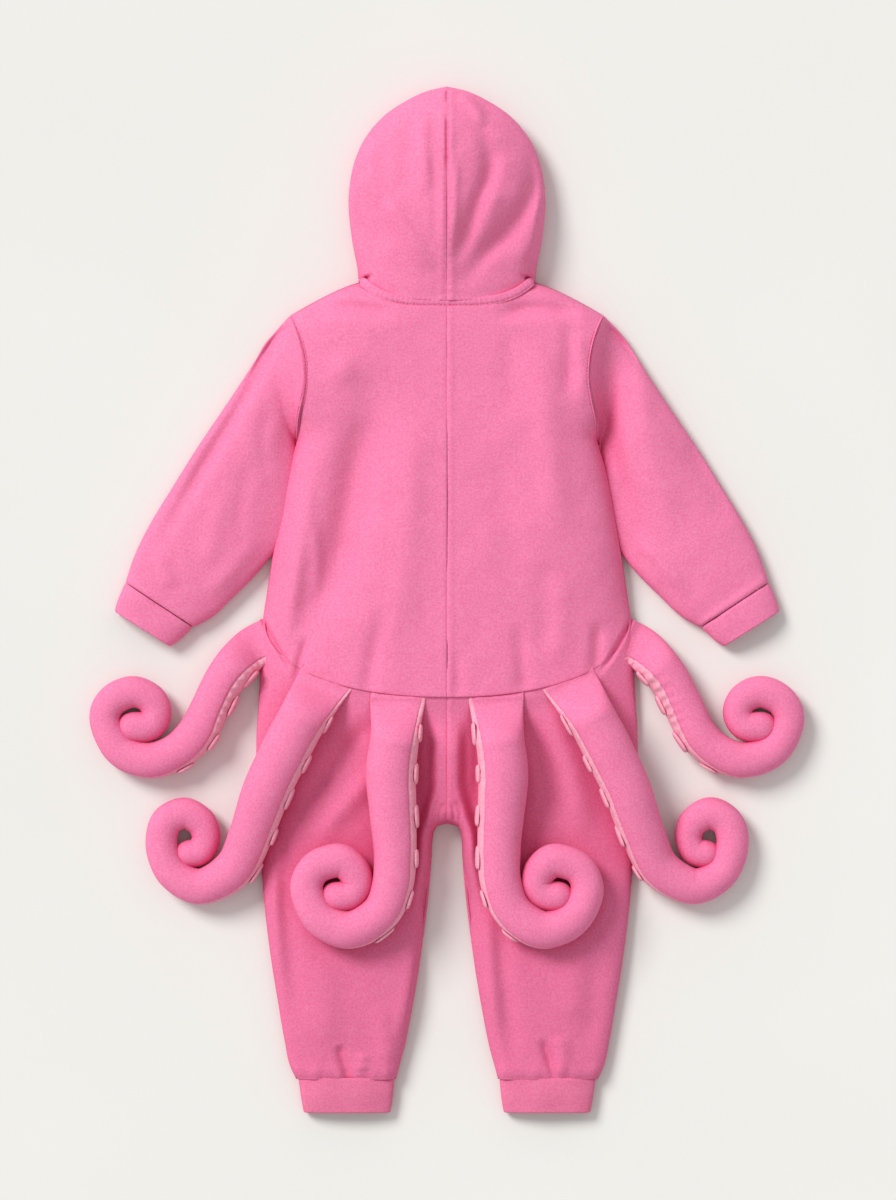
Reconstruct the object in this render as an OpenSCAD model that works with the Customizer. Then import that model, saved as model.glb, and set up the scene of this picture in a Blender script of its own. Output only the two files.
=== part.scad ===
// Child's hooded octopus suit in fleece, lying on its front with its back up.
// +Z is up out of the back, +Y runs towards the hood, +X is the wearer's right.
// The origin is on the surface it lies on, under the middle of its outline.
// All lengths are millimetres. The right half is drawn and the left is its mirror image.

/* [Garment] */
// Length from the top of the hood to the ankle cuffs
garment_len = 1027; // [900:1:1150]
// Thickness of the fleece
fleece_t = 2.5; // [2:0.1:2.8]
// Height of the middle of the back as it lies
back_h = 46; // [44:1:50]
// Height of the trouser legs as they lie
leg_h = 24; // [20:1:25]
// Height of the side seams above the surface
seam_h = 8; // [7:0.5:9]
// Height of the sleeves as they lie
sleeve_h = 30; // [26:1:31]

/* [Hood] */
// Height of the hood as it lies
hood_h = 64; // [56:1:70]
// Height of the hood's side fold
hood_side_h = 20; // [16:1:24]
// Width of the folded binding round the face opening
face_binding_w = 9; // [7:0.5:11]

/* [Tentacles] */
// Share of each tentacle's girth taken by the pale underside
under_share = 0.4; // [0.3:0.05:0.45]
// Angle of the underside's upper seam above the side of the tentacle
under_seam_angle = 36; // [20:1:45]
// Turn of the underside between base and tip
tentacle_twist = 50; // [0:1:70]
// Diameter of a sucker
sucker_d = 22; // [16:1:24]
// Thickness of a sucker
sucker_t = 3; // [2:0.5:3.5]

/* [Zip] */
// Length of the front zip
zip_len = 436; // [400:1:440]
// Spacing of the teeth
tooth_pitch = 4; // [3:0.5:6]
// Length of the pull tab
pull_len = 30; // [22:1:36]

/* [Hidden] */

// Colours
FLEECE = [0.96, 0.49, 0.67];
CUFF = [0.92, 0.46, 0.62];
PALE = [1.00, 0.68, 0.77];
WADDING = [0.97, 0.97, 0.95];
TAPE = [0.93, 0.46, 0.63];
THREAD = [0.85, 0.40, 0.56];
NYLON = [0.98, 0.62, 0.75];
CLOTH = [0.98, 0.98, 0.97];

k = garment_len / 1027;            // the outlines below are drawn 1027 long
gap = 1.2;                         // clearance where two bodies meet at a seam

// ---- Outlines of the right half -------------------------------------------------
waist_y = -17;                     // waist seam at the side
hem_y = -97;                       // waist seam in the middle of the back
underarm_y = 160;
armhole_x = 150;
neck_x = 88;
neck_back_y = 293;
neck_front_y = 288;
neck_side_y = 318;
shoulder_x = 157;
shoulder_y = 285;
crotch_y = -228;
ankle_y = -480;
cuff_end_y = -513.5;

// Side of the body and outside of the leg: y to x
OUTER_EDGE = [
    [-480, 151], [-470, 156], [-440, 163], [-405, 169], [-375, 174], [-340, 179], [-305, 183],
    [-270, 186], [-200, 190], [-140, 191], [-90, 188], [-17, 184], [10, 180], [50, 174],
    [90, 167], [130, 159], [160, 150],
];
// Inside of the leg: y to x
INNER_EDGE = [
    [-480, 51], [-472, 49], [-450, 43], [-410, 35], [-375, 29], [-340, 24], [-300, 19],
    [-260, 15], [-232, 11], [-228, 0],
];

// ---- Curves and surfaces --------------------------------------------------------
function lerp(a, b, t) = a + (b - a) * t;
function unit(v) = v / max(norm(v), 1e-9);
function clamp01(t) = min(max(t, 0), 1);
function smooth(t) = let (c = clamp01(t)) c * c * (3 - 2 * c);
function signed_pow(v, e) = (v < 0 ? -1 : 1) * pow(abs(v), e);

// Point of the Catmull-Rom curve through p, at position t counted in knots
function along(p, t) =
    let (i = min(floor(t), len(p) - 2), f = t - i,
         a = p[max(i - 1, 0)], b = p[i], c = p[i + 1], d = p[min(i + 2, len(p) - 1)])
    0.5 * (2 * b + (c - a) * f + (2 * a - 5 * b + 4 * c - d) * f * f
           + (3 * b - a - 3 * c + d) * f * f * f);

// Rounded cross profile: 1 in the middle, 0 at either edge
function dome(u) = pow(max(1 - pow(min(abs(u), 1), 2.6), 0), 0.5);
// Rolled edge: 1 on the edge, 0 from one roll width inwards
function rolled(d) = 1 - sqrt(1 - pow(1 - clamp01(d / 14), 2));

// Normal of a grid at one point, on the side seen with i up and j to the right
function grid_normal(g, i, j) =
    let (m = len(g) - 1, n = len(g[0]) - 1)
    unit(cross(g[i][min(j + 1, n)] - g[i][max(j - 1, 0)], g[min(i + 1, m)][j] - g[max(i - 1, 0)][j]));

// Grid moved t against its normals. rule(i, j) keeps rim points in their own plane:
// "x" and "y" hold that coordinate, "side" and "end" move straight across a closed seam.
function moved(g, t, rule) =
    [for (i = [0 : len(g) - 1]) [for (j = [0 : len(g[0]) - 1])
        let (n = grid_normal(g, i, j), r = rule(i, j),
             v = r == "x" ? (abs(n[0]) > 0.99 ? [0, 0, 1] : unit([0, n[1], n[2]]))
                 : r == "y" ? unit([n[0], 0, n[2]])
                 : r == "side" ? [sign(n[0]), 0, 0]
                 : r == "end" ? [0, sign(n[1]), 0] : n)
        g[i][j] - v * t]];

function joined(g) = [for (row = g) for (p = row) p];
function quad(a, b, c, d) = [[a, b, c], [a, c, d]];

// Closed solid between an upper and a lower grid; wrapped grids run round a tube
module shell(upper, lower, wrapped = false) {
    m = len(upper);
    n = len(upper[0]);
    cols = wrapped ? n : n - 1;
    q = m * n;
    function at(i, j) = i * n + j % n;
    polyhedron(
        points = concat(joined(upper), joined(lower)),
        faces = concat(
            [for (i = [0 : m - 2]) for (j = [0 : cols - 1])
                each quad(at(i + 1, j), at(i + 1, j + 1), at(i, j + 1), at(i, j))],
            [for (i = [0 : m - 2]) for (j = [0 : cols - 1])
                each quad(q + at(i, j + 1), q + at(i + 1, j + 1), q + at(i + 1, j), q + at(i, j))],
            [for (j = [0 : cols - 1])
                each quad(at(0, j), at(0, j + 1), q + at(0, j + 1), q + at(0, j))],
            [for (j = [0 : cols - 1])
                each quad(at(m - 1, j + 1), at(m - 1, j), q + at(m - 1, j), q + at(m - 1, j + 1))],
            wrapped ? [] : [for (i = [0 : m - 2])
                each quad(at(i + 1, 0), at(i, 0), q + at(i, 0), q + at(i + 1, 0))],
            wrapped ? [] : [for (i = [0 : m - 2])
                each quad(at(i, n - 1), at(i + 1, n - 1), q + at(i + 1, n - 1), q + at(i, n - 1))]));
}

// Solid rod through rings of points, closed at both ends
module rod(rings) {
    m = len(rings);
    n = len(rings[0]);
    function centre(r) = [for (a = [0 : 2]) [for (p = r) p[a]] * [for (p = r) 1] / n];
    polyhedron(
        points = concat(joined(rings), [centre(rings[0]), centre(rings[m - 1])]),
        faces = concat(
            [for (i = [0 : m - 2]) for (j = [0 : n - 1])
                each quad((i + 1) * n + j, (i + 1) * n + (j + 1) % n, i * n + (j + 1) % n, i * n + j)],
            [for (j = [0 : n - 1]) [m * n, j, (j + 1) % n]],
            [for (j = [0 : n - 1]) [m * n + 1, (m - 1) * n + (j + 1) % n, (m - 1) * n + j]]));
}

// The right half as drawn, or its mirror image
module on(side) {
    scale(k) mirror([side == "left" ? 1 : 0, 0, 0]) children();
}

// Round thread between two points
module thread(a, b, r) {
    v = b - a;
    translate(a) rotate([0, acos(v[2] / norm(v)), atan2(v[1], v[0])])
        cylinder(h = norm(v), r = r, $fn = 24);
}

// ---- Bodice ---------------------------------------------------------------------
function shoulder_line(x) =
    x < neck_x ? neck_side_y + 0.3 * (neck_x - x)
    : lerp(neck_side_y, shoulder_y, pow((x - neck_x) / (shoulder_x - neck_x), 1.25));
function back_neckline(x) = lerp(neck_back_y, neck_side_y, pow(x / neck_x, 4));
function front_neckline(x) = lerp(neck_front_y, neck_side_y, pow(x / neck_x, 2.2));

// Height of the back at x, for half width w and crown h, a distance d below the shoulder
function back_z(x, w, h, d) = seam_h + (h - seam_h) * dome(x / w) * dome(1 - clamp01(d / 55));

NECK_COLS = [0, 0.25, 0.5, 0.75, 1];
SHOULDER_COLS = [0.3, 0.52, 0.72, 0.88, 1];
// Columns of the back as shares of its half width
ACROSS = [for (u = NECK_COLS) u * neck_x / shoulder_x,
          for (u = SHOULDER_COLS) lerp(neck_x, shoulder_x, u) / shoulder_x];
LAST = len(ACROSS) - 1;

// Rows below the arm: y in the middle, y at the side, how far the crown is below back_h
BODICE_ROWS = [[hem_y, waist_y, 6], [-66, 8, 4], [-25, 40, 2], [25, 74, 1], [75, 106, 0],
               [120, 135, 0], [underarm_y, underarm_y, 0]];
ARM_STEPS = [0.14, 0.3, 0.5, 0.7, 0.87, 1];
ARM_ROW = len(BODICE_ROWS) - 1;
TOP_ROW = ARM_ROW + len(ARM_STEPS);
function bowed(u) = 1 - pow(1 - pow(u, 2.2), 1 / 2.2);

back_grid = concat(
    [for (r = BODICE_ROWS) [for (u = ACROSS)
        let (x = u * lookup(r[1], OUTER_EDGE), y = lerp(r[0], r[1], bowed(u)))
        [x, y, back_z(x, lookup(r[1], OUTER_EDGE), back_h - r[2], shoulder_line(x) - y)]]],
    [for (t = ARM_STEPS) [for (u = ACROSS)
        let (w = lerp(armhole_x, shoulder_x, t), x = u * w,
             top = u <= ACROSS[4] ? back_neckline(u * shoulder_x) : shoulder_line(u * shoulder_x),
             y = lerp(underarm_y, top, t))
        [x, y, back_z(x, armhole_x + 35 * smooth(t / 0.45), back_h - 3 * t,
                      t == 1 && u >= ACROSS[4] ? 0 : shoulder_line(x) - y)]]]);
back_rule = function(i, j)
    i == TOP_ROW ? (j >= 4 ? "end" : "y")
    : j == 0 ? "x"
    : j == LAST ? (i <= ARM_ROW ? "side" : "x")
    : i == 0 ? "y" : "free";
back_lining = moved(back_grid, fleece_t, back_rule);

module bodice_back(side) {
    color(FLEECE) on(side) shell(back_grid, back_lining);
}

// The front lies flat, rolls up to the seams, and stands off the surface beside the zip
zip_lift = 5.5;
zip_half = 5.6;
zip_end_y = neck_front_y - zip_len;
function zip_rise(x, y) =
    zip_lift * (1 - smooth((x - zip_half) / 34)) * smooth((y - zip_end_y + 60) / 50);
FRONT_ACROSS = [for (u = NECK_COLS) lerp(zip_half, neck_x, u),
                for (u = SHOULDER_COLS) lerp(neck_x, shoulder_x, u)];
function front_share(j) = (FRONT_ACROSS[j] - zip_half) / (shoulder_x - zip_half);
FRONT_ROWS = [waist_y, 25, 70, 115, 142, underarm_y];
FRONT_STEPS = [0.14, 0.35, 0.6, 0.8, 0.9, 1];

front_grid = concat(
    [for (y = FRONT_ROWS) [for (j = [0 : LAST])
        let (w = lookup(y, OUTER_EDGE), x = lerp(zip_half, w, front_share(j)))
        [x, y, max(seam_h * rolled(w - x), zip_rise(x, y))]]],
    [for (t = FRONT_STEPS) [for (j = [0 : LAST])
        let (x = lerp(zip_half, lerp(armhole_x, shoulder_x, t), front_share(j)),
             fx = FRONT_ACROSS[j],
             top = j <= 4 ? front_neckline(fx) : shoulder_line(fx),
             y = lerp(underarm_y, top, t))
        [x, y, max(j < 4 ? 0 : seam_h * rolled(t == 1 ? 0 : shoulder_line(x) - y), zip_rise(x, y))]]]);
front_rule = function(i, j)
    i == len(front_grid) - 1 ? (j >= 4 ? "end" : "y")
    : j == 0 ? "x"
    : j == LAST ? (i < len(FRONT_ROWS) ? "side" : "x")
    : i == 0 ? "y" : "free";
front_lining = moved(front_grid, -fleece_t, front_rule);

module bodice_front(side) {
    color(FLEECE) on(side) shell(front_lining, front_grid);
}

// ---- Trousers -------------------------------------------------------------------
// Rows from the ankle up: y in the middle, y at the side, crown height as a share of leg_h
LEG_ROWS = [[ankle_y, ankle_y, 0.8], [-455, -455, 0.86], [-415, -415, 0.95], [-360, -360, 1],
            [-300, -300, 1], [-258, -258, 1], [-232, -232, 1], [crotch_y, crotch_y, 1],
            [-212, -208, 1], [-190, -175, 1], [-165, -130, 1], [-138, -85, 1.03],
            [-117, -48, 1.18]];
LEG_COLS = [0, 0.04, 0.14, 0.3, 0.5, 0.68, 0.82, 0.92, 0.98, 1];
function closed(y) = smooth((-150 - y) / 70);
function leg_x(u, v, y) =
    let (c = closed(y), w = lookup(y, OUTER_EDGE), a = y >= crotch_y ? 0 : lookup(y, INNER_EDGE))
    lerp(a, w, lerp(u, v, c));
function leg_dome(x, y) =
    let (c = closed(y), w = lookup(y, OUTER_EDGE), a = y >= crotch_y ? 0 : lookup(y, INNER_EDGE))
    lerp(dome(x / w), dome((2 * x - a - w) / (w - a)), c);

leg_grid = concat(
    [for (r = LEG_ROWS) [for (j = [0 : LAST])
        let (x0 = leg_x(ACROSS[j], LEG_COLS[j], r[0]), y = lerp(r[0], r[1], bowed(ACROSS[j])),
             x = leg_x(ACROSS[j], LEG_COLS[j], r[1]))
        [j == LAST ? lookup(y, OUTER_EDGE) : lerp(x0, x, bowed(ACROSS[j])), y,
         seam_h + (leg_h * r[2] - seam_h) * (j == LAST ? 0 : leg_dome(x0, r[0]))]]],
    [back_lining[0]]);
leg_rule = function(i, j)
    j == 0 ? (i >= 7 && i < len(leg_grid) ? (i == 7 ? "side" : "x") : "side")
    : j == LAST ? "side"
    : i == 0 || i == len(leg_grid) - 1 ? "y" : "free";
leg_lining = moved(leg_grid, fleece_t, leg_rule);

module trouser_back(side) {
    color(FLEECE) on(side) shell(leg_grid, leg_lining);
}

FRONT_LEG_ROWS = [ankle_y, -455, -415, -360, -300, -258, -232, crotch_y, -205, -182, -160, -120, -70];
function front_inner(y) =
    y < crotch_y ? lookup(y, INNER_EDGE) : lerp(0.4, zip_half, smooth((y - zip_end_y + 34) / 24));
front_leg_grid = concat(
    [for (y = FRONT_LEG_ROWS) [for (j = [0 : LAST])
        let (w = lookup(y, OUTER_EDGE), a = front_inner(y),
             x = lerp(a, w, lerp(front_share(j), LEG_COLS[j], closed(y))),
             inseam = y <= crotch_y ? x - a : 99)
        [x, y, max(seam_h * rolled(min(w - x, inseam)), zip_rise(x, y))]]],
    [front_grid[0]]);
front_leg_rule = function(i, j)
    j == 0 ? (i <= 7 ? "side" : "x")
    : j == LAST ? "side"
    : i == 0 || i == len(front_leg_grid) - 1 ? "y" : "free";
front_leg_lining = concat(
    [for (i = [0 : len(front_leg_grid) - 2]) moved(front_leg_grid, -fleece_t, front_leg_rule)[i]],
    [front_lining[0]]);

module trouser_front(side) {
    color(FLEECE) on(side) shell(front_leg_lining, front_leg_grid);
}

// ---- Sleeves and cuffs ----------------------------------------------------------
TUBE_ANGLES = [335, 300, 240, 205, 180, 162, 138, 108, 72, 42, 18, 0];
// Ring of a tube lying flat between edge points a and b, h high, moved inwards by e
function tube_ring(a, b, h, e) =
    let (half = norm(b - a) / 2 - e, v = unit(b - a), c = (a + b) / 2)
    [for (q = TUBE_ANGLES)
        let (p = q <= 180 ? 0.83 : 0.42, s = half * signed_pow(cos(q), p),
             up = q <= 180 ? h - seam_h - e : seam_h - e)
        [c[0] + s * v[0], c[1] + s * v[1], seam_h + up * signed_pow(sin(q), q <= 180 ? 0.83 : 0.42)]];
module tube(rows, t) {
    shell([for (r = rows) tube_ring(r[0], r[1], r[2], 0)],
          [for (r = rows) tube_ring(r[0], r[1], r[2], t)], wrapped = true);
}

// Sections from the armhole to the wrist: point under the arm, point over it, height
SLEEVE_ROWS = [
    [[151.2, 160], [158.2, 284], sleeve_h], [[157.8, 144], [179, 260], sleeve_h],
    [[163.8, 115], [201, 226], sleeve_h - 1], [[170.8, 80], [225, 190], sleeve_h - 2],
    [[178.8, 46], [250, 153], sleeve_h - 3], [[193, 24], [275, 113], sleeve_h - 4],
    [[213, 4], [297, 77], sleeve_h - 5], [[235, -16], [312, 47], sleeve_h - 6],
    [[257, -25], [322, 18], sleeve_h - 8],
];
module sleeve(side) {
    color(FLEECE) on(side) tube([for (i = [len(SLEEVE_ROWS) - 1 : -1 : 0]) SLEEVE_ROWS[i]], fleece_t);
}

module wrist_cuff(side) {
    seam = SLEEVE_ROWS[len(SLEEVE_ROWS) - 1];
    color(CUFF) on(side) tube([
        [[277, -46], [332.5, -11.5], seam[2] - 2], [[270, -41.5], [331.5, -4], seam[2] - 1],
        [[258, -26.2], [322.7, 16.8], seam[2]]], fleece_t);
}

module ankle_cuff(side) {
    h = leg_h * 0.8;
    color(CUFF) on(side) tube([
        [[57, cuff_end_y], [143, cuff_end_y], h - 2], [[54, -509], [146.5, -509], h - 1],
        [[52, ankle_y - 8], [149, ankle_y - 8], h], [[53, ankle_y], [147, ankle_y], h]], fleece_t);
}

// ---- Neck -----------------------------------------------------------------------
// The binding runs on from the neck edges of the back and the front, leaving a gap at the zip
module neck_binding() {
    e = len(front_grid) - 1;
    side = [neck_x, neck_side_y, seam_h];
    half = concat(
        [for (j = [0 : 3]) [back_grid[TOP_ROW][j], back_lining[TOP_ROW][j], 8.5]],
        [[side, side - [fleece_t, 0, 0], 2]],
        [for (j = [3 : -1 : 0]) [front_grid[e][j], front_lining[e][j], 6]]);
    n = len(half) - 1;
    color(FLEECE) scale(k) rod([for (i = [-n : n])
        let (h = half[abs(i)], v = [i < 0 ? -1 : 1, 1, 1], up = [0, h[2], 0],
             a = [h[0][0] * v[0], h[0][1], h[0][2]], b = [h[1][0] * v[0], h[1][1], h[1][2]])
        [b, b + up, a + up, a]]);
}

module care_label() {
    color(CLOTH) scale(k) translate([-15, 262, back_h - 6.6 - fleece_t]) cube([30, 30, 0.6]);
}

// ---- Hood -----------------------------------------------------------------------
// Rays of the hood: point on its outline, y on the centre seam, point on the face opening,
// height at the centre seam, height of the side fold
HOOD_RAYS = [
    [[89, 322], 302.7, [30, 304], 41, 8], [[90, 334], 316, [52, 316], 46, 12],
    [[95, 360], 341, [66, 342], 54, 17], [[98.5, 395], 365, [73, 376], hood_h - 3, hood_side_h],
    [[96, 424], 386, [72, 405], hood_h, hood_side_h], [[89, 448], 404, [66, 428], hood_h, hood_side_h],
    [[78, 467.5], 418, [56, 446], hood_h, hood_side_h], [[62, 485], 429, [42, 459], hood_h, hood_side_h],
    [[42, 498.5], 437, [27, 467], hood_h - 1, hood_side_h],
    [[21, 508.5], 442, [13, 471], hood_h - 1, hood_side_h],
    [[0, 513.5], 445, [0, 472], hood_h - 1, hood_side_h],
];
HOOD_TOP = [0, 0.3, 0.56, 0.77, 0.92, 1];
// Underside of the hood: share of the way to the face opening, share of the side fold's height
HOOD_UNDER = [[0.02, 0.5], [0.16, 0.1], [0.45, 0], [1, 0]];

hood_grid = [for (i = [0 : len(HOOD_RAYS) - 1]) let (r = HOOD_RAYS[i])
    concat(
        [for (u = HOOD_TOP)
            let (o = r[0], bend = lerp(2.6, 1, min(i / 3, 1)))
            [u * o[0], lerp(r[1], o[1], pow(u, bend)), r[4] + (r[3] - r[4]) * dome(u)]],
        [for (s = HOOD_UNDER)
            let (p = lerp(r[0], r[2], s[0])) [p[0], p[1], r[4] * s[1]]])];
hood_rule = function(i, j)
    i == len(hood_grid) - 1 || j == 0 ? "x" : i == 0 ? "y" : "free";
module hood(side) {
    color(FLEECE) on(side) shell(hood_grid, moved(hood_grid, fleece_t, hood_rule));
}

module face_binding() {
    half = [for (r = HOOD_RAYS) r[2]];
    n = len(half) - 1;
    path = concat([for (p = half) p], [for (i = [n - 1 : -1 : 0]) [-half[i][0], half[i][1]]]);
    m = len(path) - 1;
    color(FLEECE) scale(k) rod([for (i = [0 : m])
        let (d = unit(path[min(i + 1, m)] - path[max(i - 1, 0)]), v = [-d[1], d[0]],
             c = path[i] + v * (face_binding_w / 2 + 0.1))
        [for (q = [30 : 60 : 359])
            [c[0] + v[0] * cos(q) * face_binding_w / 2, c[1] + v[1] * cos(q) * face_binding_w / 2,
             3 + 2.6 * sin(q)]]]);
}

// ---- Tentacles ------------------------------------------------------------------
// Knots along the middle of each tentacle: x, y, half width, height of what it lies on
INNER = [
    [49, -98.5, 28, 38], [52, -135, 25, 27], [56, -172, 25.5, 24.6], [54, -212, 24, 24.6],
    [52, -250, 22, 24.4], [54, -283, 21, 24.4], [67, -312, 20, 24.6], [96, -329, 19, 24.6],
    [126, -318, 17, 24.6], [141, -290, 15.5, 24.6], [133, -268, 16, 24.6], [109, -259, 17, 24.6],
    [94, -267, 16, 24.6], [89, -281, 14.8, 24.6], [94, -292, 12.5, 24.6], [106, -296, 11.5, 24.6],
];
MIDDLE = [
    [122, -81, 28, 32], [143, -116, 25, 24.5], [164, -156, 25, 21], [181, -192, 24.5, 17],
    [195, -232, 22.5, 11], [213, -268, 21, 3], [246, -286, 18, 0.8], [275, -272, 16.5, 0.8],
    [287, -245, 15, 0.8], [280, -220, 15.5, 0.8], [262, -212, 15.5, 0.8], [246, -222, 15, 0.8],
    [241, -236, 14.5, 0.8], [246, -247, 12, 0.8], [256, -252, 11, 0.8],
];
OUTER = [
    [179.5, -39, 22, 14.5], [198, -51, 22, 1.5], [220, -76, 21, 0.8], [236, -106, 20, 0.8],
    [251, -134, 20, 0.8], [271, -152, 19, 0.8], [298, -160, 17, 0.8], [327, -148, 16, 0.8],
    [344, -121, 14.5, 0.8], [337, -100, 15, 0.8], [315, -90, 16, 0.8], [296, -97, 15, 0.8],
    [289.5, -111, 14.5, 0.8], [296, -122, 12.5, 0.8], [307, -125, 11.5, 0.8],
];
// Ends of the seam each tentacle hangs from
INNER_SEAM = [[20, -98.6, 40.8], [77, -96.8, 39.4]];
MIDDLE_SEAM = [[97, -92.2, 38], [148, -69, 31]];
OUTER_SEAM = [[169, -58.5, 24], [188.5, -19, 9.5]];

RINGS = 31;
TIP = 0.9;                         // rounded tip, in knots
base_half_h = 3.6;                 // half thickness where the tentacle is sewn in
swell_len = 46;                    // distance over which it swells to its full height

// Outline point of a tentacle at knot position t and angle q, moved inwards by e.
// Angle 0 is the side the tentacle bows out to and 90 is straight up.
function limb(kn, seam, t, q, e) =
    let (p = along(kn, t), d = along(kn, min(t + 0.05, len(kn) - 1)) - along(kn, max(t - 0.05, 0)),
         away = norm([p[0] - kn[0][0], p[1] - kn[0][1]]), s = t > 2 ? 1 : smooth(away / swell_len),
         flat = unit([d[1], -d[0], 0]), v = unit(lerp(unit(seam[0] - seam[1]), flat, s)),
         tip = sqrt(max(1 - pow(max(t - len(kn) + 1 + TIP, 0) / TIP, 2), 0.05)),
         r = (p[2] - 0.8) * tip, full = 0.86 * (p[2] - 0.8),
         h = lerp(base_half_h, full, s) * tip)
    [p[0], p[1], p[3] + lerp(base_half_h, full, s)]
    + v * (r - e) * cos(q) + [0, 0, 1] * (h - e) * sin(q);

// Knot positions of the rings, closer together round the tip
function ring_list(kn, to) =
    let (n = len(kn) - 1, body = RINGS - 5)
    [for (i = [0 : body]) lerp(0.04, n - TIP, i / body),
     for (f = [0.35, 0.65, 0.87, 1]) if (f <= to) n - TIP + TIP * f];
function seam_angle(t, kn) = under_seam_angle - tentacle_twist * t / (len(kn) - 1);

// Panel of skin from angle a to b, both measured from the underside's upper seam
module skin(kn, seam, a, b, sides) {
    function grid(e) = [for (t = ring_list(kn, 1)) [for (j = [0 : sides])
        limb(kn, seam, t, seam_angle(t, kn) + lerp(a, b, j / sides), e)]];
    shell(grid(0), grid(fleece_t));
}

module tentacle_top(side, kn, seam) {
    color(FLEECE) on(side) skin(kn, seam, 360 * (1 - under_share), 0, 6);
}
module tentacle_underside(side, kn, seam) {
    color(PALE) on(side) skin(kn, seam, 0, -360 * under_share, 4);
}
module tentacle_filling(side, kn, seam) {
    color(WADDING) on(side) rod([for (t = ring_list(kn, 0.65))
        [for (j = [10 : -1 : 1]) limb(kn, seam, t, seam_angle(t, kn) + 36 * j, fleece_t + 0.3)]]);
}

// Suckers sewn along the middle of the visible part of the underside
module tentacle_suckers(side, kn, seam, places) {
    color(PALE) on(side) for (t = places) {
        q = seam_angle(t, kn) - 20;
        p = limb(kn, seam, t, q, -0.8);
        c = limb(kn, seam, t, q, 6);
        v = unit(p - c);
        translate(p) rotate([0, acos(v[2]), atan2(v[1], v[0])])
            cylinder(h = sucker_t, d = sucker_d, $fn = 32);
    }
}

// Threads of the seams that the hood, the sleeves and the tentacles turn on
HOOD_SEAM = [[-18, 302.1, 42], [18, 302.1, 42]];
SLEEVE_SEAM = [[151, 185, sleeve_h + 1.8], [155.3, 258, sleeve_h + 1.8]];
module seam_threads() {
    color(THREAD) {
        scale(k) thread(HOOD_SEAM[0], HOOD_SEAM[1], 0.5);
        for (side = ["left", "right"], s = [SLEEVE_SEAM, INNER_SEAM, MIDDLE_SEAM, OUTER_SEAM])
            on(side) thread(s[0], s[1], 0.5);
    }
}

// ---- Zip ------------------------------------------------------------------------
chain_half = 3.2;                  // half width of the closed chain of teeth
chain_low = 7.2;
chain_t = 2.4;
tape_t = 0.8;
slider_y = neck_front_y - 12;

module zip_tape(side) {
    color(TAPE) on(side) translate([chain_half, zip_end_y - 10, zip_lift + fleece_t])
        cube([11.5, zip_len + 8, tape_t]);
}

module zip_teeth(side) {
    color(NYLON) on(side) translate([0, 0, chain_low]) linear_extrude(chain_t) {
        translate([1.9, zip_end_y]) square([chain_half - 1.9, zip_len - 4]);
        for (y = [zip_end_y + 1 : tooth_pitch : neck_front_y - 5.5])
            translate([0.65, y]) square([1.3, tooth_pitch * 0.55]);
    }
}

module zip_stops() {
    color(NYLON) scale(k) {
        translate([-chain_half, zip_end_y - 5, chain_low - 0.3]) cube([2 * chain_half, 5, chain_t + 0.6]);
        for (s = [-1, 1]) translate([s > 0 ? 0.65 : -chain_half, neck_front_y - 4, chain_low - 0.3])
            cube([chain_half - 0.65, 2.5, chain_t + 0.6]);
    }
}

module chin_guard() {
    color(FLEECE) scale(k) translate([-zip_half + 0.1, neck_front_y - 0.9, zip_lift])
        cube([2 * zip_half - 0.2, 7, 4.6]);
}

pin_r = 0.8;
pin_z = 3.2;
module zip_slider() {
    color(NYLON) scale(k) translate([0, slider_y, 0]) {
        for (z = [chain_low - 1.6, chain_low + chain_t + 0.4]) translate([0, 0, z])
            linear_extrude(1.2) polygon([[-3.6, -6.5], [3.6, -6.5], [5, 0], [5, 6.5], [-5, 6.5], [-5, 0]]);
        translate([-0.42, -2, chain_low - 0.4]) cube([0.84, 5, chain_t + 0.8]);
        for (s = [-1, 1]) translate([s * 4.6 - 0.4, 0, chain_low - 0.4]) cube([0.8, 6.5, 0.8]);
        for (s = [-1, 1]) translate([s * 2.9 - 0.5, -1.2, pin_z - 1.2]) cube([1, 2.4, 3.6]);
        translate([-3, 0, pin_z]) rotate([0, 90, 0]) cylinder(h = 6, r = pin_r, $fn = 32);
    }
}

module zip_pull() {
    color(NYLON) scale(k) translate([0, slider_y, pin_z]) difference() {
        union() {
            translate([-2.2, 0, 0]) rotate([0, 90, 0]) cylinder(h = 4.4, r = 1.7, $fn = 32);
            translate([-2.2, -6, -0.9]) cube([4.4, 6, 1.8]);
            translate([0, -5, -0.9]) linear_extrude(1.8) hull() {
                square([4.4, 0.1], center = true);
                translate([-3.6, -pull_len + 10]) square([7.2, 4]);
                translate([0, -pull_len + 9]) scale([1, 0.7]) circle(r = 3.6, $fn = 32);
            }
        }
        translate([-4, 0, 0]) rotate([0, 90, 0]) cylinder(h = 8, r = pin_r + 0.06, $fn = 32);
        translate([0, -pull_len + 8, -2]) cylinder(h = 4, r = 1.8, $fn = 32);
    }
}

// ---- Nodes ----------------------------------------------------------------------
INNER_SUCKERS = [0.9, 2, 3.1, 4.2, 5.3, 6.3];
MIDDLE_SUCKERS = [0.9, 1.9, 2.9, 3.9, 4.8];
OUTER_SUCKERS = [1.6, 2.7, 3.9, 5];

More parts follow.
